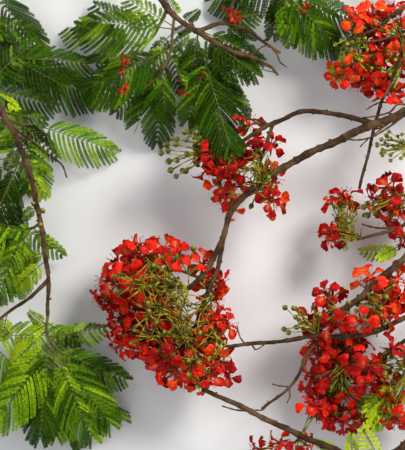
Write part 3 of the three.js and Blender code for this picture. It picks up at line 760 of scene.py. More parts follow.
# Side stems of the great head: limb that each grows from, points in photo pixels, and rise
sideStems = {
    "great_1": ("flower_bough", [(188, 289), (168, 273), (148, 263)], 16),
    "great_2": ("flower_bough", [(188, 289), (162, 287), (136, 282)], 24),
    "great_3": ("flower_bough", [(188, 289), (170, 304), (148, 316)], 26),
    "great_4": ("flower_bough", [(190, 288), (182, 308), (178, 322)], 20),
    "great_5": ("flower_fork", [(186, 336), (168, 334), (146, 338)], 24),
    "great_6": ("flower_fork", [(187, 335), (176, 350), (164, 362)], 20),
    "great_7": ("flower_fork", [(188, 334), (192, 350), (196, 362)], 16),
    "great_8": ("low_bough", [(228, 346), (214, 334), (206, 318)], 14),
    "great_9": ("flower_fork", [(198, 312), (206, 304), (214, 296)], 12),
}
for name, (limb, spots, rise, *_) in {**carriers, **sideStems}.items():
    stems[name] = twigCurve(limb, spots, rise)

# Where the heads are fullest: x and y in photo pixels, and radius. More flowers stand there, each on a
# stalk from a stem nearby
fullPlaces = {
    "great head": [
        (115, 268, 10), (108, 284, 6), (140, 262, 15), (163, 260, 12), (118, 296, 16), (138, 318, 20),
        (130, 340, 13), (158, 340, 20), (183, 348, 17), (160, 362, 10), (205, 262, 7), (214, 290, 8),
        (212, 322, 10), (214, 348, 9), (196, 374, 12), (222, 372, 5), (178, 372, 9), (145, 285, 16),
        (160, 300, 12),
    ],
    "middle head": [
        (212, 162, 9), (234, 165, 9), (230, 184, 11), (232, 204, 8), (252, 145, 7), (248, 124, 4),
        (272, 147, 4), (276, 166, 5), (266, 184, 5), (274, 202, 4),
    ],
    "high head": [
        (372, 20, 14), (394, 16, 12), (396, 42, 12), (362, 70, 14), (386, 84, 13), (352, 66, 7),
        (400, 66, 8), (366, 34, 10), (388, 60, 12),
    ],
    "right edge": [
        (385, 195, 10), (398, 215, 10), (402, 240, 6), (336, 203, 4), (344, 200, 3), (336, 236, 5),
    ],
    "low heads": [
        (330, 292, 8), (372, 285, 10), (395, 280, 10), (388, 306, 12), (325, 325, 12), (335, 345, 15),
        (318, 360, 8), (360, 350, 10), (350, 366, 9), (315, 390, 11), (335, 408, 11), (320, 408, 8),
        (346, 424, 8), (375, 425, 10), (395, 430, 10), (392, 396, 8), (376, 378, 8), (396, 352, 8),
        (396, 412, 10), (384, 436, 9), (400, 442, 8), (260, 446, 5),
    ],
}
fullHead = {
    "perFlower": 9, "fewest": 3, "rise": (-38, 30), "lowest": 58, "facing": (-1.1, 0.9), "spacing": 32,
    "stalk": (30, 135), "usualStalk": 45, "levelWeight": 0.3, "nearWeight": 0.2, "fromLimb": 14,
}


def fillHeads():
    everyFlower = [flower for flowers in flowersOf.values() for flower in flowers]
    names = [name for name in heads if heads[name][5]]
    shares = np.linspace(0.15, 1, 12)
    stemPoints = np.concatenate([stems[name].at(shares) for name in names])
    limbPoints = np.concatenate([curves[name].at(np.linspace(0, 1, 60)) for name in limbs])
    shortest, longest = fullHead["stalk"]
    draw = seededNumbers("full heads")
    for x, y, radius in sum(fullPlaces.values(), []):
        for _ in range(max(fullHead["fewest"], round(radius * radius / fullHead["perFlower"]))):
            spot = spotWithin(x, y, radius, levels["fullHead"], draw)
            rise, tilt, faceTurn = blendOf(*fullHead["rise"], draw()), draw(), draw()
            gaps = norm((stemPoints - spot) * (1, 1, fullHead["levelWeight"]), axis=1)
            chosen = int(np.argmin(np.abs(gaps - fullHead["usualStalk"]) + gaps * fullHead["nearWeight"]))
            base = stemPoints[chosen]
            centre = np.array([spot[0], spot[1], max(fullHead["lowest"], base[2] + rise)])
            length = norm(centre - base)
            direction = (centre - base) / length
            facing = unit(direction + up * blendOf(*fullHead["facing"], tilt))
            petals = planPetals(facing, 6 * faceTurn, draw)
            near = min(norm(other["centre"] - centre) for other in everyFlower)
            if near < fullHead["spacing"] or not shortest < length < longest:
                continue
            if norm(limbPoints - centre, axis=1).min() < fullHead["fromLimb"]:
                continue
            flower = {
                "head": names[chosen // len(shares)], "base": base, "centre": centre,
                "facing": facing, "petals": petals,
            }
            flowersOf[flower["head"]].append(flower)
            everyFlower.append(flower)
    print("flowers in full heads:", len(everyFlower))


# Flowers that stand alone: what carries each and where, its middle in photo pixels, its size and tone
loneFlowers = [
    ("hanging", 0.48, 122, 57, 0.34, "c"), ("hanging", 0.56, 125, 62, 0.30, "c"),
    ("hanging", 0.72, 122, 72, 0.24, "c"), ("hanging", 1.0, 124, 89, 0.36, "c"),
    ("drooping", 1.0, 184, 92, 0.42, "c"), ("leaves_top_under", 1.0, 203, 75, 0.30, "c"),
    ("forked", 0.3, 233, 15, 0.42, "c"), ("forked", 0.4, 227, 10, 0.36, "c"),
    ("forked", 0.15, 238, 20, 0.32, "c"), ("corner", 1.0, 305, 8, 0.36, "c"),
    ("blooms_right_small", 0.6, 331, 231, 0.60, "s"), ("blooms_right_small", 0.5, 332, 241, 0.46, "s"),
    ("blooms_right_small", 0.8, 338, 225, 0.50, "s"), ("blooms_right_small", 0.5, 341, 239, 0.44, "c"),
    ("blooms_right_small", 1.0, 331, 201, 0.50, "s"), ("blooms_right_small", 1.0, 341, 195, 0.50, "s"),
]
loneFlower = {"among": "blooms_middle_left", "rise": 16, "tilt": 0.2, "facingUp": 0.4}


def addLoneFlowers():
    draw = seededNumbers("lone flowers")
    for carrier, share, x, y, size, tone in loneFlowers:
        base = stems[carrier].at(share)
        centre = fromPhoto(x, y, base[2] + loneFlower["rise"] * draw())
        direction = unit(centre - base)
        petals = planPetals(unit(direction + up * (draw() - loneFlower["tilt"])), 6 * draw(), draw)
        for petal in petals:
            petal["reach"] *= size
        flowersOf[loneFlower["among"]].append({
            "head": carrier, "base": base, "centre": centre, "petals": petals,
            "facing": unit(direction + up * loneFlower["facingUp"]), "size": size, "tone": tone,
        })


# Places in photo pixels where the photo shows no flower, and the rule puts one
emptyPlaces = [(222, 129), (349, 16), (201, 148), (274, 145), (279, 166), (359, 227), (261, 442)]
emptyRadius = 6


def clearEmptyPlaces():
    for name, flowers in flowersOf.items():
        flowersOf[name] = [flower for flower in flowers if all(
            norm(flower["centre"] - fromPhoto(*spot, flower["centre"][2])) > emptyRadius
            for spot in emptyPlaces
        )]


fillHeads()
addLoneFlowers()
clearEmptyPlaces()

# More leaves, each from the nearest limb or stem to its first place and out to its second, in photo
# pixels, with its tone and, for a few, how much higher than the others it lies
placedLeaves = {
    "top": [
        (168, 26, 118, 0, "b"), (172, 30, 76, 24, "f"), (172, 48, 76, 95, "d"),
        (166, 70, 128, 112, "f"), (165, 72, 166, 131, "d"), (172, 40, 132, 88, "f"),
        (172, 60, 146, 116, "d"), (182, 20, 165, -12, "f"), (198, 34, 186, 102, "d"),
        (203, 50, 192, 132, "d"), (203, 50, 242, 116, "d"), (195, 30, 160, 56, "f"),
        (200, 33, 266, 70, "s"), (206, 34, 250, 52, "s"), (232, 46, 258, 88, "s"),
        (215, 28, 268, 12, "d"), (225, 8, 250, 30, "d"), (203, 52, 222, 112, "s"),
        (262, 0, 292, 56, "f"), (285, 0, 322, 60, "f"), (296, 0, 346, 56, "d"),
        (286, 0, 270, 34, "d"), (240, 132, 222, 160, "d"), (368, 60, 322, 86, "y"),
        (300, 0, 344, 22, "f"), (205, 118, 216, 160, "d"),
    ],
    "upper left": [
        (0, 20, 44, 30, "d"), (0, 40, 52, 66, "s"), (8, 56, 98, 64, "d"),
        (8, 56, 74, 92, "s"), (0, 64, 40, 92, "s"), (2, 88, 66, 108, "s"),
        (4, 106, 58, 120, "d"), (6, 112, 36, 126, "b"), (0, 84, 30, 112, "y"),
        (2, 56, 48, 58, "y"), (0, 76, 46, 34, "d"), (0, 90, 20, 62, "d"),
        (14, 126, 58, 142, "s"), (20, 128, 66, 164, "s"), (16, 132, 44, 166, "d"),
        (14, 126, 2, 160, "b"), (20, 150, 0, 178, "f"), (24, 160, 58, 178, "b"),
        (26, 168, 54, 206, "y"), (26, 166, 34, 206, "b"), (20, 160, 2, 210, "s"),
        (27, 176, 6, 206, "d"), (30, 205, 30, 213, "b"),
    ],
    "lower left": [
        (34, 228, 60, 256, "b"), (36, 226, 2, 236, "f"), (40, 262, 10, 292, "y"),
        (40, 250, 16, 262, "b"), (36, 235, 2, 268, "b"), (46, 324, 28, 309, "y"),
        (46, 322, 90, 350, "f"), (52, 347, 122, 388, "f"), (54, 350, 100, 372, "b"),
        (56, 352, 116, 430, "f"), (50, 350, 22, 424, "b"), (46, 345, 4, 388, "b"),
        (50, 352, 56, 446, "b"), (20, 330, 0, 350, "y"), (56, 350, 96, 446, "f"),
        (30, 330, 4, 372, "y"), (44, 350, 0, 430, "b"), (40, 322, 8, 346, "y"),
    ],
    "low right": [
        (402, 384, 356, 414, "y", 95), (396, 386, 362, 430, "y", 90),
        (372, 440, 354, 414, "y", 80),
    ],
    "top, denser": [
        (203, 38, 262, 84, "s"), (201, 34, 238, 76, "s"), (198, 34, 182, 70, "d"),
        (172, 46, 198, 78, "d"), (224, 14, 254, 46, "d"), (236, 24, 262, 42, "s"),
        (186, 18, 206, 2, "d"), (204, 50, 226, 96, "s"), (203, 56, 205, 120, "d"),
        (172, 44, 184, 104, "d"), (172, 34, 140, 66, "f"), (148, 58, 90, 110, "f"),
        (160, 60, 108, 118, "d"), (172, 36, 196, 22, "s"), (272, 0, 262, 30, "s"),
        (290, 0, 282, 44, "f"),
    ],
    "right edge and foot": [
        (402, 246, 372, 258, "y", 50), (336, 462, 316, 436, "y"), (350, 466, 348, 438, "y"),
    ],
    "over the middle head": [(206, 62, 214, 154, "d", 60), (207, 64, 228, 160, "s", 66)],
}
placedLeaf = {
    "levelWeight": 0.15, "beyondTip": 30, "shortest": 60, "tries": 5, "swing": 0.06,
    "lift": (18, 60), "eachTry": 12,
    "footShare": 0.3, "pinnaRadius": 2,  # only the foot of a pinna may meet the wood
}


def placeLeaves():
    shares = np.linspace(0.04, 1, 40)
    sprayPoints = np.concatenate([stems[name].at(shares) for name in sprays])
    everyPoint = np.concatenate([sprayPoints, *(curves[name].at(shares) for name in limbs)])
    draw = seededNumbers("placed leaves")
    for x0, y0, x1, y1, tone, *higher in sum(placedLeaves.values(), []):
        foot, tip = fromPhoto(x0, y0, levels["leafFoot"]), fromPhoto(x1, y1, levels["leafTip"])
        gaps = norm((everyPoint - foot)[:, :2], axis=1)
        gaps = gaps + placedLeaf["levelWeight"] * np.abs(everyPoint[:, 2] - foot[2])
        base = everyPoint[int(np.argmin(gaps))]
        owner = list(sprays)[nearest(sprayPoints, base) // len(shares)]
        length = max(placedLeaf["shortest"], norm((tip - base)[:2]) - placedLeaf["beyondTip"])
        turn = atan2(*(tip - base)[1::-1])
        for attempt in range(placedLeaf["tries"]):
            lift = drawn(draw, *placedLeaf["lift"]) + placedLeaf["eachTry"] * attempt + sum(higher)
            swing = placedLeaf["swing"] * attempt * (draw() - 0.5)
            plan = planLeaf(owner, base, turn + swing, length, draw, lift)
            if not plan["blocked"]:
                break
        plan["pinnae"] = [
            pinna for pinna in plan["pinnae"]
            if wood.isClear("", blendOf(pinna["root"], pinna["tip"], placedLeaf["footShare"]),
                            pinna["tip"], placedLeaf["pinnaRadius"])
        ]
        plan["tone"] = tone
        leavesOf[owner].append(plan)


# Beyond the photo each leaf has a fellow that grows from nearly the same place
fellow = {
    "turn": (13, 27), "length": (0.8, 0.98), "lift": (16, 52), "on": (0.45, 0.5), "room": 6, "tries": 6,
    "beyond": (480, 560),  # how far from the middle of the view a leaf's tip then is
}


def addFellows():
    for i, (name, leaves) in enumerate(leavesOf.items()):
        draw = seededNumbers("fellows", i)
        fellows = []
        for k, plan in enumerate(leaves):
            far = np.abs(plan["line"][-1][:2]) > fellow["beyond"]
            side = 1 if k % 2 else -1
            for _ in range(fellow["tries"] if far.any() else 0):
                turn = plan["turn"] + side * radians(blendOf(*fellow["turn"], draw()))
                length = plan["length"] * blendOf(*fellow["length"], draw())
                base = stems[name].at(drawn(draw, *fellow["on"]))
                other = planLeaf(name, base, turn, length, draw, blendOf(*fellow["lift"], draw()))
                side = -side
                if not other["blocked"]:
                    other["pinnae"] = [
                        pinna for pinna in other["pinnae"]
                        if room.isClear(name, pinna["root"], pinna["tip"], fellow["room"])
                    ]
                    other["tone"] = plan["tone"]
                    fellows.append(other)
                    break
        leaves += fellows


addFellows()
placeLeaves()
print("leaves with the added ones:", sum(map(len, leavesOf.values())))


# Shapes that repeat are modelled once, at unit length, and read into arrays
def clearSelection():
    if bpy.context.mode != "OBJECT":
        bpy.ops.object.mode_set(mode="OBJECT")
    bpy.ops.object.select_all(action="DESELECT")


def startShape(add, **how):
    clearSelection()
    add(**how)
    bpy.ops.object.mode_set(mode="EDIT")
    return bpy.context.object


def pick(piece, test):
    editing = bmesh.from_edit_mesh(piece.data)
    for vertex in editing.verts:
        vertex.select_set(bool(test(vertex)))
    editing.select_flush_mode()
    bmesh.update_edit_mesh(piece.data)


def resize(across, deep, high, centre=(0, 0, 0)):
    bpy.ops.transform.resize(value=(across, deep, high), center_override=centre)


def shift(across, deep, high):
    bpy.ops.transform.translate(value=(across, deep, high))


def extrude(across, deep, high):
    bpy.ops.mesh.extrude_region_move(TRANSFORM_OT_translate={"value": (across, deep, high)})


# A modelled shape: its points, its faces by their number of corners, and its own flat map
class Shape:
    def __init__(self, piece, flatAxes=(0, 1)):
        bpy.ops.object.mode_set(mode="OBJECT")
        mesh = piece.data
        points = np.empty(len(mesh.vertices) * 3)
        mesh.vertices.foreach_get("co", points)
        self.points = points.reshape(-1, 3)
        faces = {}
        for polygon in mesh.polygons:
            faces.setdefault(len(polygon.vertices), []).append(list(polygon.vertices))
        self.faces = [np.array(group) for group in faces.values()]
        self.flat = self.points[:, flatAxes]
        bpy.data.objects.remove(piece, do_unlink=True)


def ruffle(piece, size, strength, direction="Z"):
    texture = bpy.data.textures.new("ruffle", "CLOUDS")
    texture.noise_scale = size
    texture.noise_depth = 1
    bend = piece.modifiers.new("ruffle", "DISPLACE")
    bend.texture = texture
    bend.texture_coords = "LOCAL"
    bend.direction = direction
    bend.strength = strength
    bend.mid_level = 0.5
    bpy.ops.object.modifier_apply(modifier=bend.name)


# Sheets, row by row from the root: along, half width, height, curl of the edges
petalSheet = {
    "columns": 6,
    "rows": [
        (0.00, 0.040, 0.00, 0.00), (0.24, 0.045, 0.07, 0.01), (0.43, 0.065, 0.12, 0.03),
        (0.55, 0.19, 0.15, 0.07), (0.68, 0.30, 0.15, 0.05), (0.82, 0.345, 0.12, -0.02),
        (0.96, 0.31, 0.04, -0.07),
    ],
    "ruffles": [(0.24, 0.22), (0.19, 0.26), (0.30, 0.30)],  # size and strength, for each of three petals
    "pleat": 0.035,  # how far every second fold stands out at the rim
}
standardSheet = {
    "columns": 4,
    "rows": [
        (0.00, 0.04, 0.00, 0.02), (0.20, 0.05, 0.10, 0.04), (0.40, 0.08, 0.20, 0.06),
        (0.52, 0.20, 0.25, 0.10), (0.66, 0.30, 0.27, 0.08), (0.80, 0.32, 0.25, 0.02),
        (0.92, 0.26, 0.20, -0.04), (1.00, 0.12, 0.14, -0.06),
    ],
    "ruffles": [(0.3, 0.12)],
}
sepalSheet = {
    "columns": 2,
    "rows": [
        (0.00, 0.12, 0.00, 0.04), (0.35, 0.17, -0.10, 0.05), (0.75, 0.13, -0.34, 0.03),
        (1.00, 0.03, -0.62, 0.00),
    ],
}
sheetEdge = {  # how far back the edges lie, and the half width from which a row is pleated
    "back": 0.25, "pleatedFrom": 0.1,
}


# A sheet is drawn out of a grid
def sheetShape(sheet, ruffles=None):
    rows, columns, pleat = sheet["rows"], sheet["columns"], sheet.get("pleat", 0)
    piece = startShape(
        bpy.ops.mesh.primitive_grid_add, x_subdivisions=columns, y_subdivisions=len(rows) - 1, size=1
    )
    for k, (along, half, height, curl) in enumerate(rows):
        start = k / (len(rows) - 1) - 0.5

        def inRow(vertex, wanted=range(columns + 1)):
            row, column = divmod(vertex.index, columns + 1)
            return row == k and column in wanted

        pick(piece, inRow)
        resize(2 * half, 1, 1, (0, start, 0))
        shift(0, along - start, height)
        pick(piece, lambda vertex: inRow(vertex, (0, columns)))
        shift(0, -sheetEdge["back"] * half, curl)
        if pleat and half > sheetEdge["pleatedFrom"]:
            pick(piece, lambda vertex: inRow(vertex, range(1, columns, 2)))
            shift(0, pleat * along, 2 * pleat * along)
    bpy.ops.object.mode_set(mode="OBJECT")
    if ruffles:
        size, strength = ruffles
        ruffle(piece, size, strength)
        for direction in ("X", "Y"):
            ruffle(piece, 0.7 * size, 0.55 * strength, direction)
    return Shape(piece)


# A thread's steps: rise, lean and width; the fourth begins its wider end
stamenSteps = [
    (0.35, 0.02, 0.9), (0.33, 0.07, 0.9), (0.22, 0.11, 0.9), (0.03, 0.01, 2.6), (0.07, 0.03, 0.9),
    (0.03, 0.01, 0.2),
]
# A leaf scar's steps over its rim and into its sunken middle: rise and width
scarSteps = [(0.34, 0.86), (0.12, 0.72), (-0.1, 0.66), (-0.04, 0.4)]


# A thread is drawn up from a small ring
def stamenShape():
    piece = startShape(bpy.ops.mesh.primitive_circle_add, vertices=3, radius=0.022, fill_type="NGON")
    height, out = 0.0, 0.0
    for rise, lean, wide in stamenSteps:
        height, out = height + rise, out + lean
        extrude(lean, 0, rise)
        resize(wide, wide, 1, (out, 0, height))
    return Shape(piece)


# A ball that is narrower at its foot and towards its drawn-out tip
def budShape():
    piece = startShape(bpy.ops.mesh.primitive_uv_sphere_add, segments=10, ring_count=6, radius=1)
    pick(piece, lambda vertex: vertex.co.z > 0.2)
    resize(0.86, 0.86, 1)
    pick(piece, lambda vertex: vertex.co.z > 0.95)
    shift(0, 0, 0.16)
    pick(piece, lambda vertex: vertex.co.z < -0.8)
    resize(0.6, 0.6, 1.15)
    pick(piece, lambda vertex: True)
    resize(0.37, 0.37, 0.46)
    shift(0, 0, 0.46)
    return Shape(piece, (0, 2))


# A narrow six-cornered blade, folded along its middle
def leafletShape():
    piece = startShape(bpy.ops.mesh.primitive_circle_add, vertices=6, radius=0.5, fill_type="NGON")
    pick(piece, lambda vertex: abs(vertex.co.x) < 0.01)
    bpy.ops.mesh.vert_connect_path()
    pick(piece, lambda vertex: abs(vertex.co.x) > 0.01)
    resize(0.44, 1.25, 1)
    shift(0, 0, 0.035)
    pick(piece, lambda vertex: True)
    shift(0, 0.5, 0)
    return Shape(piece)


# A leaf scar: a low rim round a sunken middle, its underside left in the wood
def scarShape():
    piece = startShape(bpy.ops.mesh.primitive_circle_add, vertices=8, radius=1, fill_type="NGON")
    for rise, wide in scarSteps:
        extrude(0, 0, rise)
        resize(wide, wide, 1)
    return Shape(piece)


petalShapes = [sheetShape(petalSheet, ruffles) for ruffles in petalSheet["ruffles"]]
standard = sheetShape(standardSheet, *standardSheet["ruffles"])
sepal, stamen, budForm, leaflet, scar = (
    sheetShape(sepalSheet), stamenShape(), budShape(), leafletShape(), scarShape()
)
print("repeated shapes modelled")


# Many copies of shapes, joined into one mesh
class Heap:
    def __init__(self):
        self.count = 0
        self.points, self.faces, self.flat = [], [], []

    def add(self, points, groups, flat):
        copies, size = points.shape[:2]
        offsets = self.count + size * np.arange(copies)
        for group in groups:
            self.faces.append((group[None] + offsets[:, None, None]).reshape(-1, group.shape[1]))
        self.points.append(points.reshape(-1, 3))
        self.flat.append(np.tile(flat, (copies, 1)))
        self.count += copies * size

    # frames holds, for each copy, the shape's X, Y and Z as rows, with its size in them
    def stamp(self, shape, frames, places):
        self.add(np.einsum("vk,nkc->nvc", shape.points, frames) + places[:, None], shape.faces, shape.flat)

    def stampOne(self, shape, x, y, z, place):
        self.stamp(shape, np.array([[x, y, z]]), place[None])

    # Rods along paths of equally many points, closed at both ends
    def rods(self, paths, radii, sides):
        copies, steps = paths.shape[:2]
        along = unit(np.gradient(paths, axis=1))
        beside = np.where(np.abs(along[:, :1, 2:]) > 0.9, [[[1.0, 0, 0]]], [[[0, 0, 1.0]]])
        first = unit(np.cross(along, beside))
        second = np.cross(first, along)
        angles = 2 * pi * np.arange(sides)[:, None] / sides
        ring = first[:, :, None] * np.cos(angles) + second[:, :, None] * np.sin(angles)
        points = paths[:, :, None] + ring * radii[:, :, None, None]
        k, s = np.meshgrid(np.arange(steps - 1), np.arange(sides), indexing="ij")
        after = (s + 1) % sides
        quads = np.stack(
            [k * sides + s, (k + 1) * sides + s, (k + 1) * sides + after, k * sides + after], -1
        ).reshape(-1, 4)
        caps = np.array([np.arange(sides), (steps - 1) * sides + np.arange(sides)[::-1]])
        length, around = np.meshgrid(np.linspace(0, 1, steps), np.arange(sides) / sides, indexing="ij")
        flat = np.stack([around, length], -1).reshape(-1, 2)
        self.add(points.reshape(copies, -1, 3), (quads, caps), flat)

    def triangles(self):
        return sum(len(group) * (group.shape[1] - 2) for group in self.faces)


# A piece from a heap; nothing in it lies lower than the lowest level, in millimetres
def pieceFrom(name, heap, finish, nodes=(), mapped=False, lowest=1.0):
    points = np.concatenate(heap.points)
    points[:, 2] = np.maximum(points[:, 2], lowest - toOrigin[2])
    points = (points + toOrigin) / 1000
    corners = np.concatenate([group.ravel() for group in heap.faces])
    totals = np.concatenate([np.full(len(group), group.shape[1]) for group in heap.faces])
    starts = np.concatenate([[0], np.cumsum(totals)[:-1]])
    mesh = bpy.data.meshes.new(name)
    mesh.vertices.add(len(points))
    mesh.vertices.foreach_set("co", points.ravel())
    mesh.loops.add(len(corners))
    mesh.loops.foreach_set("vertex_index", corners.astype(np.int32))
    mesh.polygons.add(len(totals))
    mesh.polygons.foreach_set("loop_start", starts.astype(np.int32))
    mesh.update(calc_edges=True)
    if mapped:
        flat = np.concatenate(heap.flat)[corners]
        mesh.uv_layers.new(name="flat").data.foreach_set("uv", flat.ravel())
    mesh.shade_smooth()
    piece = bpy.data.objects.new(name, mesh)
    bpy.context.scene.collection.objects.link(piece)
    print(name, heap.triangles(), "triangles")
    return settle(piece, finish, nodes)


# A piece of rods; each bundle is a list of paths with their radii, and the rods' number of sides
def rodPiece(name, finish, slotName, *bundles):
    heap = Heap()
    for rods, sides in bundles:
        groups = {}
        for path, radii in rods:
            groups.setdefault(len(path), []).append((path, radii))
        for group in groups.values():
            heap.rods(np.array([path for path, _ in group]), np.array([radii for _, radii in group]), sides)
    pieceFrom(name, heap, finish)


def settle(piece, finish, nodes=()):
    piece.data.materials.clear()
    piece.data.materials.append(finish)
    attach(piece, "root")
    if nodes:
        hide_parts(*nodes)
    return piece


# Finishes. Every tone is a base colour
barkTones = {
    "dark": (0.016, 0.008, 0.003), "mid": (0.072, 0.032, 0.012), "pale": (0.19, 0.105, 0.045),
    "pore": (0.34, 0.22, 0.12),
}
# The leaf tones run from painted shade to painted backlight; each holds painted shade and painted light
leafTones = {  # name, in the shade, in the light
    "s": ("shade", (0.007, 0.021, 0.001), (0.025, 0.060, 0.001)),
    "d": ("deep", (0.009, 0.040, 0.001), (0.042, 0.118, 0.002)),
    "f": ("fresh", (0.034, 0.110, 0.002), (0.145, 0.275, 0.004)),
    "b": ("bright", (0.100, 0.240, 0.003), (0.330, 0.520, 0.010)),
    "y": ("sunlit", (0.220, 0.360, 0.004), (0.560, 0.680, 0.014)),
}
stalkTones = {  # the two tones that lie in patches, and how fine the patches are
    "leafStalk": ((0.06, 0.095, 0.010), (0.17, 0.19, 0.028), 28),
    "sprayStem": ((0.10, 0.060, 0.030), (0.15, 0.13, 0.04), 28),
    "headStem": ((0.07, 0.055, 0.025), (0.14, 0.14, 0.035), 30),
    "sepal": ((0.09, 0.10, 0.010), (0.27, 0.11, 0.018), 40),
    "pedicel_olive": ((0.050, 0.048, 0.004), (0.46, 0.40, 0.030), 60),
    "pedicel_lime": ((0.080, 0.110, 0.005), (0.44, 0.52, 0.025), 60),
}
petalTones = {  # name, the claw, the limb, its painted light, its painted shade in the folds
    "s": ("scarlet", (0.50, 0.020, 0.006), (0.62, 0.005, 0.003), (0.98, 0.034, 0.006), (0.24, 0.002, 0.002)),
    # painted sunlight: a red for flowers in the sun
    "o": ("orange", (0.62, 0.050, 0.006), (0.84, 0.022, 0.004), (1.00, 0.130, 0.010), (0.46, 0.008, 0.003)),
    # painted shade: a darker red for flowers in shade
    "c": ("crimson", (0.26, 0.006, 0.004), (0.28, 0.002, 0.003), (0.60, 0.010, 0.004), (0.12, 0.001, 0.002)),
}
standardTones = {"limb": (0.58, 0.007, 0.003), "cream": (0.80, 0.42, 0.10), "streak": (0.62, 0.02, 0.006)}
threadTones = {"dark": (0.30, 0.004, 0.006), "red": (0.48, 0.012, 0.010), "tip": (0.09, 0.025, 0.010)}
budTones = {  # in the shade, in the light, the tip
    "olive": ((0.040, 0.050, 0.004), (0.13, 0.140, 0.010), (0.34, 0.33, 0.05)),
    "lime": ((0.050, 0.085, 0.004), (0.17, 0.24, 0.012), (0.46, 0.52, 0.06)),
}
woodTones = {"early": (0.46, 0.33, 0.19), "late": (0.62, 0.50, 0.33), "rim": (0.14, 0.09, 0.06)}


def barkFinish():
    finish = Finish("bark", Roughness=0.85, Specular_IOR_Level=0.25)
    where = finish.place()
    patches = finish.between(finish.noise(where, 22, 5), 0.40, 0.66)
    grain = finish.noise(where, 150, 4, 0.7)
    pores = finish.node("TexVoronoi", {"feature": "F1"}, {"Vector": where, "Scale": 170}, "Distance")
    pore = 1 - finish.between(pores, 0.08, 0.22)
    wood = finish.mix(finish.between(grain, 0.35, 0.7), barkTones["dark"], barkTones["mid"])
    wood = finish.mix(patches * 0.62, wood, barkTones["pale"])
    finish.colour(finish.mix(pore * 0.45, wood, barkTones["pore"]))
    finish.roughness(0.78 + grain * 0.2)
    finish.bump(grain * 0.7 + pore * 0.4 + patches * 0.3, 0.55, 0.0014)
    return finish.material


def leafFinish(title, shade, light):
    finish = Finish("leaf_" + title, Roughness=0.5, Specular_IOR_Level=0.03)
    where = finish.place()
    fine = finish.noise(where, 210, 2)
    # Patches of the shaded and lit colours: painted shade and painted light
    spots = finish.noise(where, 9, 2) * 0.4 + fine * 0.6
    finish.colour(finish.mix(finish.between(spots, 0.40, 0.60), shade, light))
    finish.roughness(0.42 + fine * 0.2)
    finish.bump(fine, 0.3, 0.0006)
    return finish.material


def stalkFinish(name):
    first, second, scale = stalkTones[name]
    finish = Finish(name, Roughness=0.55, Specular_IOR_Level=0.14)
    where = finish.place()
    fine = finish.noise(where, scale * 9, 3)
    finish.colour(finish.mix(finish.between(finish.noise(where, scale, 3), 0.35, 0.65), first, second))
    finish.roughness(0.45 + fine * 0.2)
    finish.bump(fine, 0.35, 0.0005)
    return finish.material


def petalFinish(title, claw, limb, lit, deep):
    finish = Finish("petal_" + title, Roughness=0.45, Specular_IOR_Level=0.12)
    where = finish.place()
    across, along = finish.onFlat("X"), finish.onFlat("Y")
    veins = finish.noise(finish.mapped(finish.flatMap(), Scale=(9, 1.2, 1)), 3.0, 3, 0.5)
    crinkle = finish.noise(where, 160, 3)
    # Patches of the lit colour over the limb colour: painted light on the folds
    litPatches = finish.noise(where, 26, 2) * 0.5 + finish.noise(where, 95, 2) * 0.5
    red = finish.mix(finish.between(litPatches, 0.40, 0.60), limb, lit)
    # Darker patches of the deep colour: painted shade in the folds
    red = finish.mix(finish.between(finish.noise(where, 62, 3), 0.50, 0.66) * 0.6, red, deep)
    red = finish.mix(1 - finish.between(along, 0.2, 0.5), red, claw)
    red = finish.mix(finish.between(veins, 0.56, 0.7) * 0.35, red, limb)
    # A rim mixed towards the lit colour: painted highlight along the petal's edge
    litRim = finish.between(across.size(), 0.3, 0.42) * finish.between(along, 0.45, 0.7)
    finish.colour(finish.mix(litRim * 0.4, red, lit))
    finish.roughness(0.38 + crinkle * 0.22)
    finish.bump(veins * 0.6 + crinkle * 0.6, 0.5, 0.0012)
    return finish.material


# The standard has a pale middle with red streaks
def standardFinish():
    finish = Finish("standardPetal", Roughness=0.5, Specular_IOR_Level=0.12)
    across, along = finish.onFlat("X"), finish.onFlat("Y")
    streaks = finish.noise(finish.mapped(finish.flatMap(), Scale=(16, 4, 1)), 2.4, 3, 0.5)
    pale = finish.between(1 - across.size() * 5.6, 0.05, 0.9) * finish.between(along, 0.3, 0.5)
    pale = pale * (1 - finish.between(along, 0.66, 0.86)) * 0.6
    cream = finish.mix(finish.between(streaks, 0.44, 0.56), standardTones["cream"], standardTones["streak"])
    finish.colour(finish.mix(pale, standardTones["limb"], cream))
    finish.bump(streaks, 0.4, 0.001)
    return finish.material


def threadFinish():
    finish = Finish("stamenThread", Roughness=0.4)
    thread = finish.mix(finish.noise(finish.place(), 240, 2), threadTones["dark"], threadTones["red"])
    finish.colour(finish.mix(finish.between(finish.onFlat("Y"), 0.88, 0.92), thread, threadTones["tip"]))
    return finish.material


def budFinish(kind, shade, light, tip):
    finish = Finish("bud_" + kind, Roughness=0.5, Specular_IOR_Level=0.2)
    where = finish.place()
    skin = finish.mix(finish.between(finish.noise(where, 60, 3), 0.35, 0.65), shade, light)
    finish.colour(finish.mix(finish.between(finish.onFlat("Y"), 0.6, 0.95), skin, tip))
    finish.bump(finish.noise(where, 300, 2), 0.3, 0.0005)
    return finish.material


# Growth rings about the middle of the cut
def cutFinish(middle):
    finish = Finish("cutWood", Roughness=0.8)
    fromMiddle = finish.mapped(finish.place(), Location=tuple(-middle))
    distance = finish.node("VectorMath", {"operation": "LENGTH"}, {0: fromMiddle}, "Value")
    rings = (distance * 2600 + finish.noise(finish.place(), 60, 3) * 2.2).sine() * 0.5 + 0.5
    wood = finish.mix(rings, woodTones["early"], woodTones["late"])
    finish.colour(finish.mix(finish.between(distance, 0.0185, 0.0200), wood, woodTones["rim"]))
    finish.bump(rings, 0.3, 0.0004)
    return finish.material


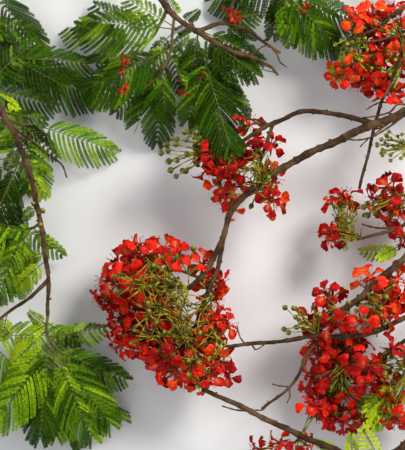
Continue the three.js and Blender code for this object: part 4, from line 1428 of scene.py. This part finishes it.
# Bark: each limb is a round-edged curve with swellings at its leaf scars, made a mesh with relief
bark = {
    "ring": 5.0, "fewestRings": 10, "lowest": 0.0004,
    "scarGap": 34, "firstScar": 11, "swelling": 0.19, "swellingRun": 4.5, "swellingLoss": 0.2,
    "collar": 0.45, "collarRun": 1.6,  # how much wider a limb is at its foot, over how many radii
    "wander": 1.0, "wanderRun": 21, "wanderFrom": 60,
    "slim": {"left_bough": 0.8, "long_twig": 0.85}, "slimAt": 0.25,  # limbs thinner than their solid
    "thick": 7,  # the radius from which a limb is rounder and has stronger relief
    "relief": ((0.030, 0.9), (0.009, 0.5)),  # size of the lumps, and how high they are
    "reliefHeight": 0.01 / 40, "thickRelief": 1.3,  # metres for a millimetre of radius, and how much more
}
leafScar = {
    "clearOfFoot": 12, "clearOfTip": 6, "widest": 5.5, "width": (1.6, 0.28), "set": 0.93,
    "stretch": (1.15, 0.8, 0.8),  # across, along and out of the limb
}


# Each limb's scars and wandering begin at another place
def phaseOf(name):
    return sum(map(ord, name)) % 17


def limbPath(name):
    parent, _, base, tip, _ = limbs[name]
    curve = curves[name]
    shares = np.linspace(0, 1, max(bark["fewestRings"], round(curve.length / bark["ring"])) + 1)
    along = shares * curve.length
    radii = blendOf(base, tip, shares)
    radii = radii * blendOf(1, bark["slim"].get(name, 1), np.minimum(1, shares / bark["slimAt"]))
    fromScar = (along + bark["firstScar"] + phaseOf(name)) % bark["scarGap"] - bark["scarGap"] / 2
    swollen = np.exp(-((fromScar / bark["swellingRun"]) ** 2))
    radii = radii * (1 + bark["swelling"] * swollen * (1 - shares * bark["swellingLoss"]))
    if parent:
        radii = radii * (1 + bark["collar"] * np.exp(-along / (bark["collarRun"] * base)))
    side = unit(np.cross(curve.tangent(shares), up))
    wander = np.sin(along / bark["wanderRun"] + phaseOf(name)) * np.minimum(1, along / bark["wanderFrom"])
    return curve.at(shares) + side * bark["wander"] * wander[:, None], radii


def growBark(name, finish):
    path, radii = limbPath(name)
    base = limbs[name][2]
    thick = base >= bark["thick"]
    clearSelection()
    bpy.ops.curve.primitive_nurbs_path_add()
    piece = bpy.context.object
    piece.name = "bark_" + name
    data = piece.data
    data.splines.clear()
    line = data.splines.new("POLY")
    line.points.add(len(path) - 1)
    for point, place, radius in zip(line.points, (path + toOrigin) / 1000, radii / 1000):
        point.co = (*place, 1)
        point.radius = radius
    data.dimensions = "3D"
    data.bevel_depth = 1.0
    data.bevel_resolution = 5 if thick else 3
    data.use_fill_caps = True
    data.twist_mode = "MINIMUM"
    bpy.ops.object.convert(target="MESH")
    piece = bpy.context.object
    bpy.ops.object.mode_set(mode="EDIT")
    bpy.ops.mesh.select_all(action="SELECT")
    bpy.ops.mesh.remove_doubles(threshold=0.00002)
    bpy.ops.mesh.normals_make_consistent(inside=False)
    bpy.ops.object.mode_set(mode="OBJECT")
    for size, height in bark["relief"]:
        strength = height * base * bark["reliefHeight"] * (bark["thickRelief"] if thick else 1)
        ruffle(piece, size, strength, "NORMAL")
    for vertex in piece.data.vertices:
        vertex.co.z = max(vertex.co.z, bark["lowest"])
    bpy.ops.object.shade_smooth()
    settle(piece, finish, [name])


# Leaf scars stand in turn round each limb, on its swellings
def addScars(finish):
    heap = Heap()
    for name, (_, _, base, tip, _) in limbs.items():
        curve = curves[name]
        first = bark["scarGap"] / 2 - bark["firstScar"] - phaseOf(name)
        along = np.arange(first, curve.length - leafScar["clearOfTip"], bark["scarGap"])
        for k, run in enumerate(along[along > leafScar["clearOfFoot"]]):
            where = run / curve.length
            axis = curve.tangent(where)
            side = unit(np.cross(axis, up))
            turn = k * goldenAngle
            out = side * cos(turn) + np.cross(side, axis) * sin(turn)
            radius = blendOf(base, tip, where) * (1 + bark["swelling"])
            least, more = leafScar["width"]
            wide = min(leafScar["widest"], least + more * radius)
            ways = zip((np.cross(axis, out), axis, out), leafScar["stretch"])
            sized = [way * wide * stretch for way, stretch in ways]
            heap.stampOne(scar, *sized, curve.at(where) + out * radius * leafScar["set"])
    pieceFrom("leaf_scars", heap, finish)


# Bare twigs of each limb or stem: points in photo pixels, radii at foot and tip, and how much higher
# than its foot the tip is
bareTwigs = {
    "left_bough": [
        ([(10, 125), (30, 140), (52, 157), (62, 165), (67, 178)], 4.2, 1.8, 26),
        ([(26, 168), (33, 179)], 3.0, 1.8, 20),
    ],
    "top_fork": [
        ([(262, 43), (270, 36), (276, 27)], 3.0, 1.6, 6),
        ([(271, 49), (277, 54), (280, 62), (287, 67)], 3.2, 1.8, 4),
    ],
    "top_bough": [([(250, 54), (262, 47), (270, 45)], 2.8, 1.8, 10)],
    "leaves_top_middle": [([(166, 68), (155, 79), (143, 89)], 3.6, 1.8, 24)],
    "upper_bough": [
        ([(268, 122), (258, 120), (247, 119), (240, 115)], 3.6, 2.0, 16),
        ([(258, 121), (250, 118), (247, 116), (252, 111)], 2.4, 1.4, 24),
    ],
    "flower_bough": [
        ([(412, 112), (397, 121), (386, 129), (372, 137), (358, 140), (345, 139)], 3.8, 1.8, 6),
        ([(400, 112), (372, 136), (366, 141), (360, 147)], 2.6, 1.6, 4),
        ([(398, 114), (385, 126), (374, 129), (364, 126)], 2.8, 1.8, -8),
        ([(414, 104), (399, 104), (390, 112), (376, 116), (362, 118)], 3.4, 1.8, 14),
    ],
    "long_twig": [
        ([(381, 100), (392, 103), (404, 104)], 2.6, 1.8, 30),
        ([(378, 99), (372, 106), (366, 110)], 2.4, 1.6, 24),
    ],
    "low_bough": [
        ([(246, 344), (240, 337), (237, 325)], 2.4, 1.4, 16),
        ([(251, 343), (255, 349)], 2.6, 2.0, 8),
        ([(266, 343), (260, 348), (254, 350)], 2.0, 1.4, 8),
    ],
    "low_twig": [
        ([(290, 387), (280, 386), (272, 384)], 2.4, 1.6, 8),
        ([(289, 388), (290, 396), (287, 403)], 2.4, 1.6, 8),
        ([(277, 398), (271, 402), (267, 401)], 2.2, 1.6, 6),
        ([(268, 405), (262, 410), (255, 410)], 2.8, 1.8, 2),
    ],
    "mid_bough": [([(396, 222), (378, 228), (368, 226), (362, 224)], 3.2, 2.2, 14)],
    "right_arch_tip": [([(250, 410), (236, 410), (222, 406)], 2.8, 1.8, 8)],
    "top_right_bough": [([(404, 6), (394, 13), (377, 28), (347, 41)], 4.4, 2.4, 66)],
    "top_right_twig": [
        ([(405, 33), (396, 36), (374, 41), (340, 47)], 3.6, 2.2, 80),
        ([(402, 36), (401, 56), (393, 78), (384, 98)], 4.6, 3.6, 80),
    ],
}
twigBark = {"ring": 6, "fewestRings": 10, "knob": 0.18, "knobRun": 3.2, "sides": 7}


def addTwigs(finish):
    twigs = [
        (twigCurve(limb, spots, rise), base, tip)
        for limb, rows in bareTwigs.items() for spots, base, tip, rise in rows
    ]
    twigs += [(stems[name], *carriers[name][3]) for name in carriers]
    rods = []
    for k, (path, base, tip) in enumerate(twigs):
        shares = np.linspace(0, 1, max(twigBark["fewestRings"], int(path.length / twigBark["ring"])))
        knobs = 1 + twigBark["knob"] * np.cos(shares * path.length / twigBark["knobRun"] + k)
        rods.append((path.at(shares), np.linspace(base, tip, len(shares)) * knobs))
    rodPiece("bare_twigs", finish, "bark", (rods, twigBark["sides"]))


# The cut face in metres: its bark rim and its rings, each by thickness and depth
cutFace = {"sides": 32, "radius": 0.0208, "rim": (0.0012, 0.0006), "rings": (0.009, 0.0001), "out": 0.0002}


def addCutFace():
    curve = curves["main_stem"]
    middle = (curve.at(0) + toOrigin) / 1000
    outward = Vector(-curve.tangent(0))
    piece = startShape(
        bpy.ops.mesh.primitive_circle_add,
        vertices=cutFace["sides"], radius=cutFace["radius"], fill_type="NGON",
    )
    piece.name = "cut_face"
    for thickness, depth in (cutFace["rim"], cutFace["rings"]):
        bpy.ops.mesh.inset(thickness=thickness, depth=depth)
    bpy.ops.object.mode_set(mode="OBJECT")
    piece.rotation_euler = outward.to_track_quat("Z", "Y").to_euler()
    piece.location = Vector(middle) + outward * cutFace["out"]
    bpy.ops.object.transform_apply(location=True, rotation=True, scale=True)
    settle(piece, cutFinish(middle))


def addWood():
    finish = barkFinish()
    for name in limbs:
        growBark(name, finish)
    addScars(finish)
    addTwigs(finish)
    addCutFace()
    print("bark grown on", len(limbs), "limbs")


addWood()

# Leaves: stalks, pinnae and leaflets in pairs
fineLeaf = {
    "pairGap": 12.2, "fewestPairs": 7, "pinnaLength": (0.92, 0.12), "droop": 0.1, "sweep": (12, 7),
    "bareFoot": 5, "gap": 4.2, "fewestLeaflets": 4, "length": 5.0, "width": 11.4,
    "taper": (0.55, 0.45, 0.12, 0.8),  # least length, how much more, and the part of a half turn
    "forward": 24, "tilt": 0.2, "stagger": 0.6, "sag": 0.16, "curl": 0.24,
    "lean": 0.55,  # how much the leaflets lean apart
    "stalk": (1.7, 0.8), "stalkRings": 11, "stalkSides": 5,
    "thread": (0.7, 0.4), "threadRings": 5, "threadSides": 3,
    "mix": {"s": "ssssdd", "d": "ddddsf", "f": "fffdbb", "b": "bbbbff", "y": "yyyyyb"},  # pinnae's tones: lighter and darker pinnae are painted light and painted shade
}
stemForm = {  # of the leafy sprays and of the heads: rings, sides, and radius beside the solids'
    "spray": (9, 7, 1.05), "head": (8, 8, 0.95),
}
leaning = np.random.RandomState(511)  # of the leaflets


def stemRod(name, kind):
    rings, _, share = stemForm[kind]
    return stems[name].at(np.linspace(0, 1, rings)), np.linspace(*stemRadii[kind], rings) * share


def growLeaf(plan, heaps, stalks, threads, draw):
    rings = fineLeaf["stalkRings"]
    stalks.append((leafLine(plan, np.linspace(0, 1, rings)), np.linspace(*fineLeaf["stalk"], rings)))
    kept = {(pinna["pair"], pinna["side"]): pinna for pinna in plan["pinnae"]}
    first = leaf["firstPair"]
    pairs = max(fineLeaf["fewestPairs"], round(plan["length"] * (1 - first) / fineLeaf["pairGap"]))
    mixed = fineLeaf["mix"][plan["tone"]]
    least, more = fineLeaf["pinnaLength"]
    atTip, apart = fineLeaf["sweep"]
    for k in range(pairs):
        share = first + (1 - first) * (k + 0.5) / pairs
        coarse = min(leaf["pairs"] - 1, int((share - first) / (1 - first) * leaf["pairs"]))
        for side in (-1, 1):
            jitter, lilt = draw(), draw()
            pinna = kept.get((coarse, side))
            if pinna is None:
                continue
            droop = pinna["droop"] + fineLeaf["droop"] * (lilt - 0.5)
            sweep = atTip * share**3 + apart * (jitter - 0.5)
            along, direction, reach = pinnaDirection(plan, share, side, droop, sweep)
            size = pinnaSize(share) * (least + more * jitter) * reach
            length = leaf["pinnaLength"] * size * plan["scale"]
            heap = heaps[mixed[int(draw() * len(mixed))]]
            growPinna(heap, threads, leafLine(plan, share)[0], direction, along, length)


def growPinna(heap, threads, root, direction, along, length):
    bend = along - direction * (along @ direction)

    def line(s):
        s = np.atleast_1d(s)[:, None]
        return (
            root + direction * length * s
            + bend * length * fineLeaf["curl"] * s**2 - up * length * fineLeaf["sag"] * s**2
        )

    rings, foot = fineLeaf["threadRings"], fineLeaf["bareFoot"]
    threads.append((line(np.linspace(0, 1, rings)), np.linspace(*fineLeaf["thread"], rings)))
    count = max(fineLeaf["fewestLeaflets"], int((length - foot) / fineLeaf["gap"]))
    s = (foot + fineLeaf["gap"] * np.arange(count)) / length
    places = line(s)
    tangents = unit(line(s + 0.01) - line(s - 0.01))
    sideways = unit(np.cross(tangents, up))
    normals = np.cross(sideways, tangents)
    least, more, start, run = fineLeaf["taper"]
    size = fineLeaf["length"] * (least + more * np.sin(pi * np.clip(start + run * s, 0, 1)))[:, None]
    forward = radians(fineLeaf["forward"])
    for side in (-1, 1):
        lean = fineLeaf["tilt"] + fineLeaf["lean"] * (leaning.rand(count, 1) - 0.5)
        y = unit(sideways * side * cos(forward) + tangents * sin(forward) + normals * lean)
        x = unit(np.cross(y, normals))
        z = np.cross(x, y)
        frames = np.stack([x * fineLeaf["width"], y * size, z * fineLeaf["length"]], axis=1)
        heap.stamp(leaflet, frames, places + tangents * side * fineLeaf["stagger"])


def addLeaves():
    heaps = {tone: Heap() for tone in leafTones}
    stalks, threads = [], []
    for i, leaves in enumerate(leavesOf.values()):
        draw = seededNumbers("pinnae", i)
        for plan in leaves:
            growLeaf(plan, heaps, stalks, threads, draw)
    for tone, heap in heaps.items():
        nodes = [name for name, leaves in leavesOf.items() if any(p["tone"] == tone for p in leaves)]
        pieceFrom("leaflets_" + leafTones[tone][0], heap, leafFinish(*leafTones[tone]), nodes)
    rodPiece(
        "leaf_stalks", stalkFinish("leafStalk"), "leaf",
        (stalks, fineLeaf["stalkSides"]), (threads, fineLeaf["threadSides"]),
    )
    stemRods = [stemRod(name, "spray") for name in leavesOf]
    rodPiece("leaf_stems", stalkFinish("sprayStem"), "leaf", (stemRods, stemForm["spray"][1]))


addLeaves()

# Pedicels: rings and sides, and the radii at foot and tip of each kind
pedicel = {
    "rings": 7, "sides": 6, "flower": (1.9, 1.7), "bud": (1.7, 1.9), "youngBud": (1.6, 1.2),
    "longBud": (1.6, 1.5), "sideStem": (3.2, 2.2),
}
calyxRadii = (2.5, 3.4)  # of the last two rings below a flower


def pedicelRod(kind, path):
    return path, np.linspace(*pedicel[kind], pedicel["rings"])


def straight(start, end):
    return blendOf(start, end, np.linspace(0, 1, pedicel["rings"])[:, None])


# Drawn out towards a middle point
def bowed(start, middle, end):
    s = np.linspace(0, 1, pedicel["rings"])[:, None]
    return start * (1 - s) ** 2 + middle * 2 * s * (1 - s) + end * s**2


# Young buds and spent pedicels: the start of the names of what carries them, middle in photo pixels,
# radius, how many, share of buds and, where it isn't the whole stem, the part that they grow from
youngBuds = [
    ("blooms_middle_left", 185, 154, 24, 24, 1.0), ("buds_low", 300, 320, 20, 10, 1.0),
    ("blooms_right_small", 350, 218, 17, 38, 0.06), ("blooms_right_small", 346, 247, 1, 1, 1.0),
    ("blooms_right_small", 346, 236, 11, 18, 0.06), ("bud_high", 34, 205, 1, 1, 1.0, (0.5, 1)),
    ("bud_middle", 43, 213, 2, 2, 1.0, (0.5, 1)), ("bud_low", 42, 226, 2, 2, 1.0, (0.5, 1)),
    ("blooms_right_edge", 372, 209, 7, 6, 1.0), ("blooms_high", 354, 44, 17, 30, 0.55),
    ("blooms_high_low", 372, 58, 14, 22, 0.5), ("blooms_high_right", 384, 30, 14, 12, 0.4),
    ("blooms_high_", 392, 68, 12, 22, 0.4),
    ("great_", 168, 290, 15, 30, 0.04, (0.1, 1)), ("great_", 172, 315, 22, 60, 0.04, (0.1, 1)),
    ("great_", 146, 294, 15, 16, 0.08, (0.1, 1)), ("great_", 158, 270, 17, 20, 0.1, (0.2, 1)),
    ("great_", 128, 284, 14, 12, 0.12, (0.2, 1)), ("great_", 146, 326, 16, 16, 0.1, (0.2, 1)),
    ("great_", 176, 342, 16, 26, 0.06, (0.1, 1)), ("great_", 194, 332, 16, 30, 0.06, (0.1, 1)),
    ("great_", 203, 306, 12, 16, 0.06, (0.1, 1)), ("great_", 204, 366, 16, 16, 0.1, (0.1, 1)),
    ("blooms_great_upper", 193, 252, 1, 1, 1.0, (0, 0.1)), ("right_edge", 392, 146, 15, 22, 1.0, (0.6, 1)),
    ("blooms_great_foot", 204, 370, 16, 24, 0.1), ("blooms_middle_right", 268, 170, 14, 24, 0.06),
    ("blooms_middle", 243, 166, 18, 40, 0.06), ("blooms_middle", 262, 186, 10, 8, 0.1),
    ("blooms_low_right", 372, 320, 20, 40, 0.12), ("blooms_low", 342, 385, 16, 40, 0.15),
    ("blooms_low_middle", 388, 370, 15, 30, 0.15), ("blooms_low_left", 335, 312, 14, 20, 0.1),
    ("blooms_corner", 385, 420, 14, 16, 0.1), ("blooms_low_right", 385, 290, 12, 16, 0.1),
]
youngBud = {
    "level": 200, "away": (14, 62), "rise": (26, 46, 0.35), "lowest": 30, "highest": 246,
    "bow": 14, "swing": 0.3, "length": (13.5, 19), "plump": 1.25, "smaller": 0.78,
    "spentLength": 7, "spentWidth": 0.9,
}
# Long buds among the spent pedicels of the great head: middle in photo pixels and heading
longBuds = [
    (118, 292, 150), (152, 267, 130), (137, 331, 165), (134, 342, 200), (176, 258, 70), (159, 350, 220),
]
longBud = {"rise": 0.35, "level": 226, "back": 12, "width": 15, "length": 27}


def growLongBuds(heap, pedicels):
    points = np.concatenate([stems[name].at(np.linspace(0.1, 1, 10)) for name in sideStems])
    for x, y, turn in longBuds:
        along = heading(radians(turn), longBud["rise"])
        root = fromPhoto(x, y, longBud["level"]) - along * longBud["back"]
        base = points[nearest(points, root)]
        across = unit(np.cross(along, up))
        deep = np.cross(along, across)
        wide = longBud["width"]
        heap.stampOne(budForm, across * wide, deep * wide, along * longBud["length"], root)
        pedicels.append(pedicelRod("longBud", straight(base, root)))


# The high head's buds and pedicels are a fresher green, and smaller
def greenOf(name):
    return "lime" if name.startswith("blooms_high") else "olive"


def growYoungBuds(heaps, pedicels):
    draw = seededNumbers("young buds")
    nearer, farther = youngBud["away"]
    least, more, lower = youngBud["rise"]
    for carriedBy, x, y, radius, count, budShare, *part in youngBuds:
        kind = greenOf(carriedBy)
        smaller = youngBud["smaller"] if kind == "lime" or carriedBy == "right_edge" else 1
        shares = np.linspace(*(part[0] if part else (0, 1)), 10)
        carrying = [stem for name, stem in stems.items() if name.startswith(carriedBy)]
        points = np.concatenate([stem.at(shares) for stem in carrying])
        for _ in range(count):
            spot = spotWithin(x, y, radius, youngBud["level"], draw)
            gaps = norm((points - spot)[:, :2], axis=1)
            within = np.flatnonzero((gaps > nearer) & (gaps < farther))
            base = points[within[int(draw() * len(within))] if len(within) else int(np.argmin(gaps))]
            level = base[2] + least + more * (draw() - lower)
            root = np.array([spot[0], spot[1], np.clip(level, youngBud["lowest"], youngBud["highest"])])
            isBud = draw() < budShare
            along = unit(root - base)
            across = unit(np.cross(along, up + 0.01))  # up itself may be along
            size = blendOf(*youngBud["length"], draw()) * smaller if isBud else youngBud["spentLength"]
            wide = size * (youngBud["plump"] if isBud else youngBud["spentWidth"])
            deep = np.cross(along, across)
            heaps[kind].stampOne(budForm, across * wide, deep * wide, along * size, root - along)
            middle = (base + root) / 2 + up * youngBud["bow"] * draw()
            middle = middle + np.cross(up, root - base) * youngBud["swing"] * (draw() - 0.5)
            pedicels[kind].append(pedicelRod("youngBud", bowed(base, middle, root)))


# Flowers: four petals and a standard, sepals, stamens and a pedicel
flowerForm = {
    "reach": (0.94, 0.1), "standard": 1.05, "standardLift": 0.35,
    "fold": 1.1, "twist": 1.2,  # how much the petals of one flower lean and turn apart
    "sepal": 24, "sepalWidth": 21, "sepalBack": 0.25,
    "stamen": 33, "stamens": 8, "stamenFoot": 1.2, "stamenSpread": (0.28, 0.3), "stamenLength": (0.8, 0.25),
    "pedicelEnd": 1.5, "pedicelBow": 5, "leastBow": 0.3,
}


def growPetals(flower, heaps, tone, draw):
    facing = flower["facing"]
    standardAt = int(draw() * 5)
    for k, petal in enumerate(flower["petals"]):
        reach = petal["reach"] * drawn(draw, *flowerForm["reach"])
        along = unit(petal["along"] + facing * flowerForm["fold"] * (draw() - 0.5))
        across = unit(petal["across"] + facing * flowerForm["twist"] * (draw() - 0.5))
        outFace = unit(np.cross(across, along))
        across = np.cross(along, outFace)
        if k == standardAt:
            shape, heap, reach = standard, heaps["standard"], reach * flowerForm["standard"]
            along = unit(along + facing * flowerForm["standardLift"])
            outFace = unit(np.cross(across, along))
        else:
            shape, heap = petalShapes[int(draw() * len(petalShapes))], heaps[tone]
        heap.stampOne(shape, across * reach, along * reach, outFace * reach, flower["centre"])


def growSepals(flower, heap):
    notches = np.array([petal["notch"] for petal in flower["petals"]])
    back = unit(notches - flower["facing"] * flowerForm["sepalBack"])
    x = unit(np.cross(back, flower["facing"]))
    z = np.cross(x, back)
    wide, long = flowerForm["sepalWidth"], flowerForm["sepal"]
    frames = flower.get("size", 1) * np.stack([x * wide, back * long, z * long], axis=1)
    heap.stamp(sepal, frames, np.tile(flower["centre"], (5, 1)))


def growStamens(flower, heap, draw):
    facing, first = flower["facing"], flower["petals"][0]["notch"]
    second = np.cross(facing, first)
    count = flowerForm["stamens"]
    turns = 2 * pi * (np.arange(count) + draw())[:, None] / count
    out = first * np.cos(turns) + second * np.sin(turns)
    spreads = np.array([draw() for _ in range(count)])[:, None]
    lengths = np.array([draw() for _ in range(count)])[:, None, None]
    least, more = flowerForm["stamenSpread"]
    z = unit(facing + out * (least + more * spreads))
    x = unit(out - z * (out * z).sum(1, keepdims=True))
    y = np.cross(z, x)
    least, more = flowerForm["stamenLength"]
    length = flower.get("size", 1) * flowerForm["stamen"] * (least + more * lengths)
    feet = flower["centre"] + out * flowerForm["stamenFoot"]
    heap.stamp(stamen, np.stack([x, y, z], axis=1) * length, feet)


def flowerPedicel(flower, draw):
    start, end = flower["base"], flower["centre"] - flower["facing"] * flowerForm["pedicelEnd"]
    ahead = stems[flower["head"]].tangent(1)
    middle = (start + end) / 2 + ahead * flowerForm["pedicelBow"] * (draw() + flowerForm["leastBow"])
    path, radii = pedicelRod("flower", bowed(start, middle, end))
    radii[-2:] = calyxRadii
    return path, radii


def addFlowers():
    heaps = {kind: Heap() for kind in (*petalTones, "standard", "sepal", "stamen")}
    buds = {kind: Heap() for kind in budTones}
    pedicels = {kind: [] for kind in budTones}
    for i, (name, flowers) in enumerate(flowersOf.items()):
        draw = seededNumbers("petals", i)
        tones, kind = heads[name][7], greenOf(name)
        for flower in flowers:
            tone = tones[int(draw() * len(tones))]
            growPetals(flower, heaps, flower.get("tone", tone), draw)
            growSepals(flower, heaps["sepal"])
            growStamens(flower, heaps["stamen"], draw)
            pedicels[kind].append(flowerPedicel(flower, draw))
        for one in budsOf[name]:
            along = one["direction"]
            across = unit(np.cross(along, up))
            ways = (across, np.cross(along, across), along)
            sized = [way * bud["length"] * bud["fineShare"] for way in ways]
            buds[kind].stampOne(budForm, *sized, one["root"])
            pedicels[kind].append(pedicelRod("bud", straight(one["base"], one["root"])))
    growYoungBuds(buds, pedicels)
    growLongBuds(buds["olive"], pedicels["olive"])
    for name in sideStems:
        path = stems[name].at(np.linspace(0, 1, pedicel["rings"]))
        pedicels["olive"].append(pedicelRod("sideStem", path))
    for tone, (title, *colours) in petalTones.items():
        finish = petalFinish(title, *colours)
        pieceFrom("petals_" + title, heaps[tone], finish, list(heads), mapped=True)
    pieceFrom("petals_standard", heaps["standard"], standardFinish(), mapped=True)
    pieceFrom("sepals", heaps["sepal"], stalkFinish("sepal"))
    pieceFrom("stamens", heaps["stamen"], threadFinish(), mapped=True)
    for kind, colours in budTones.items():
        pieceFrom("buds_" + kind, buds[kind], budFinish(kind, *colours), mapped=True)
        finish = stalkFinish("pedicel_" + kind)
        rodPiece("pedicels_" + kind, finish, "bloom", (pedicels[kind], pedicel["sides"]))
    stemRods = [stemRod(name, "head") for name in flowersOf]
    rodPiece("head_stems", stalkFinish("headStem"), "bloom", (stemRods, stemForm["head"][1]))


addFlowers()

print("all pieces made")
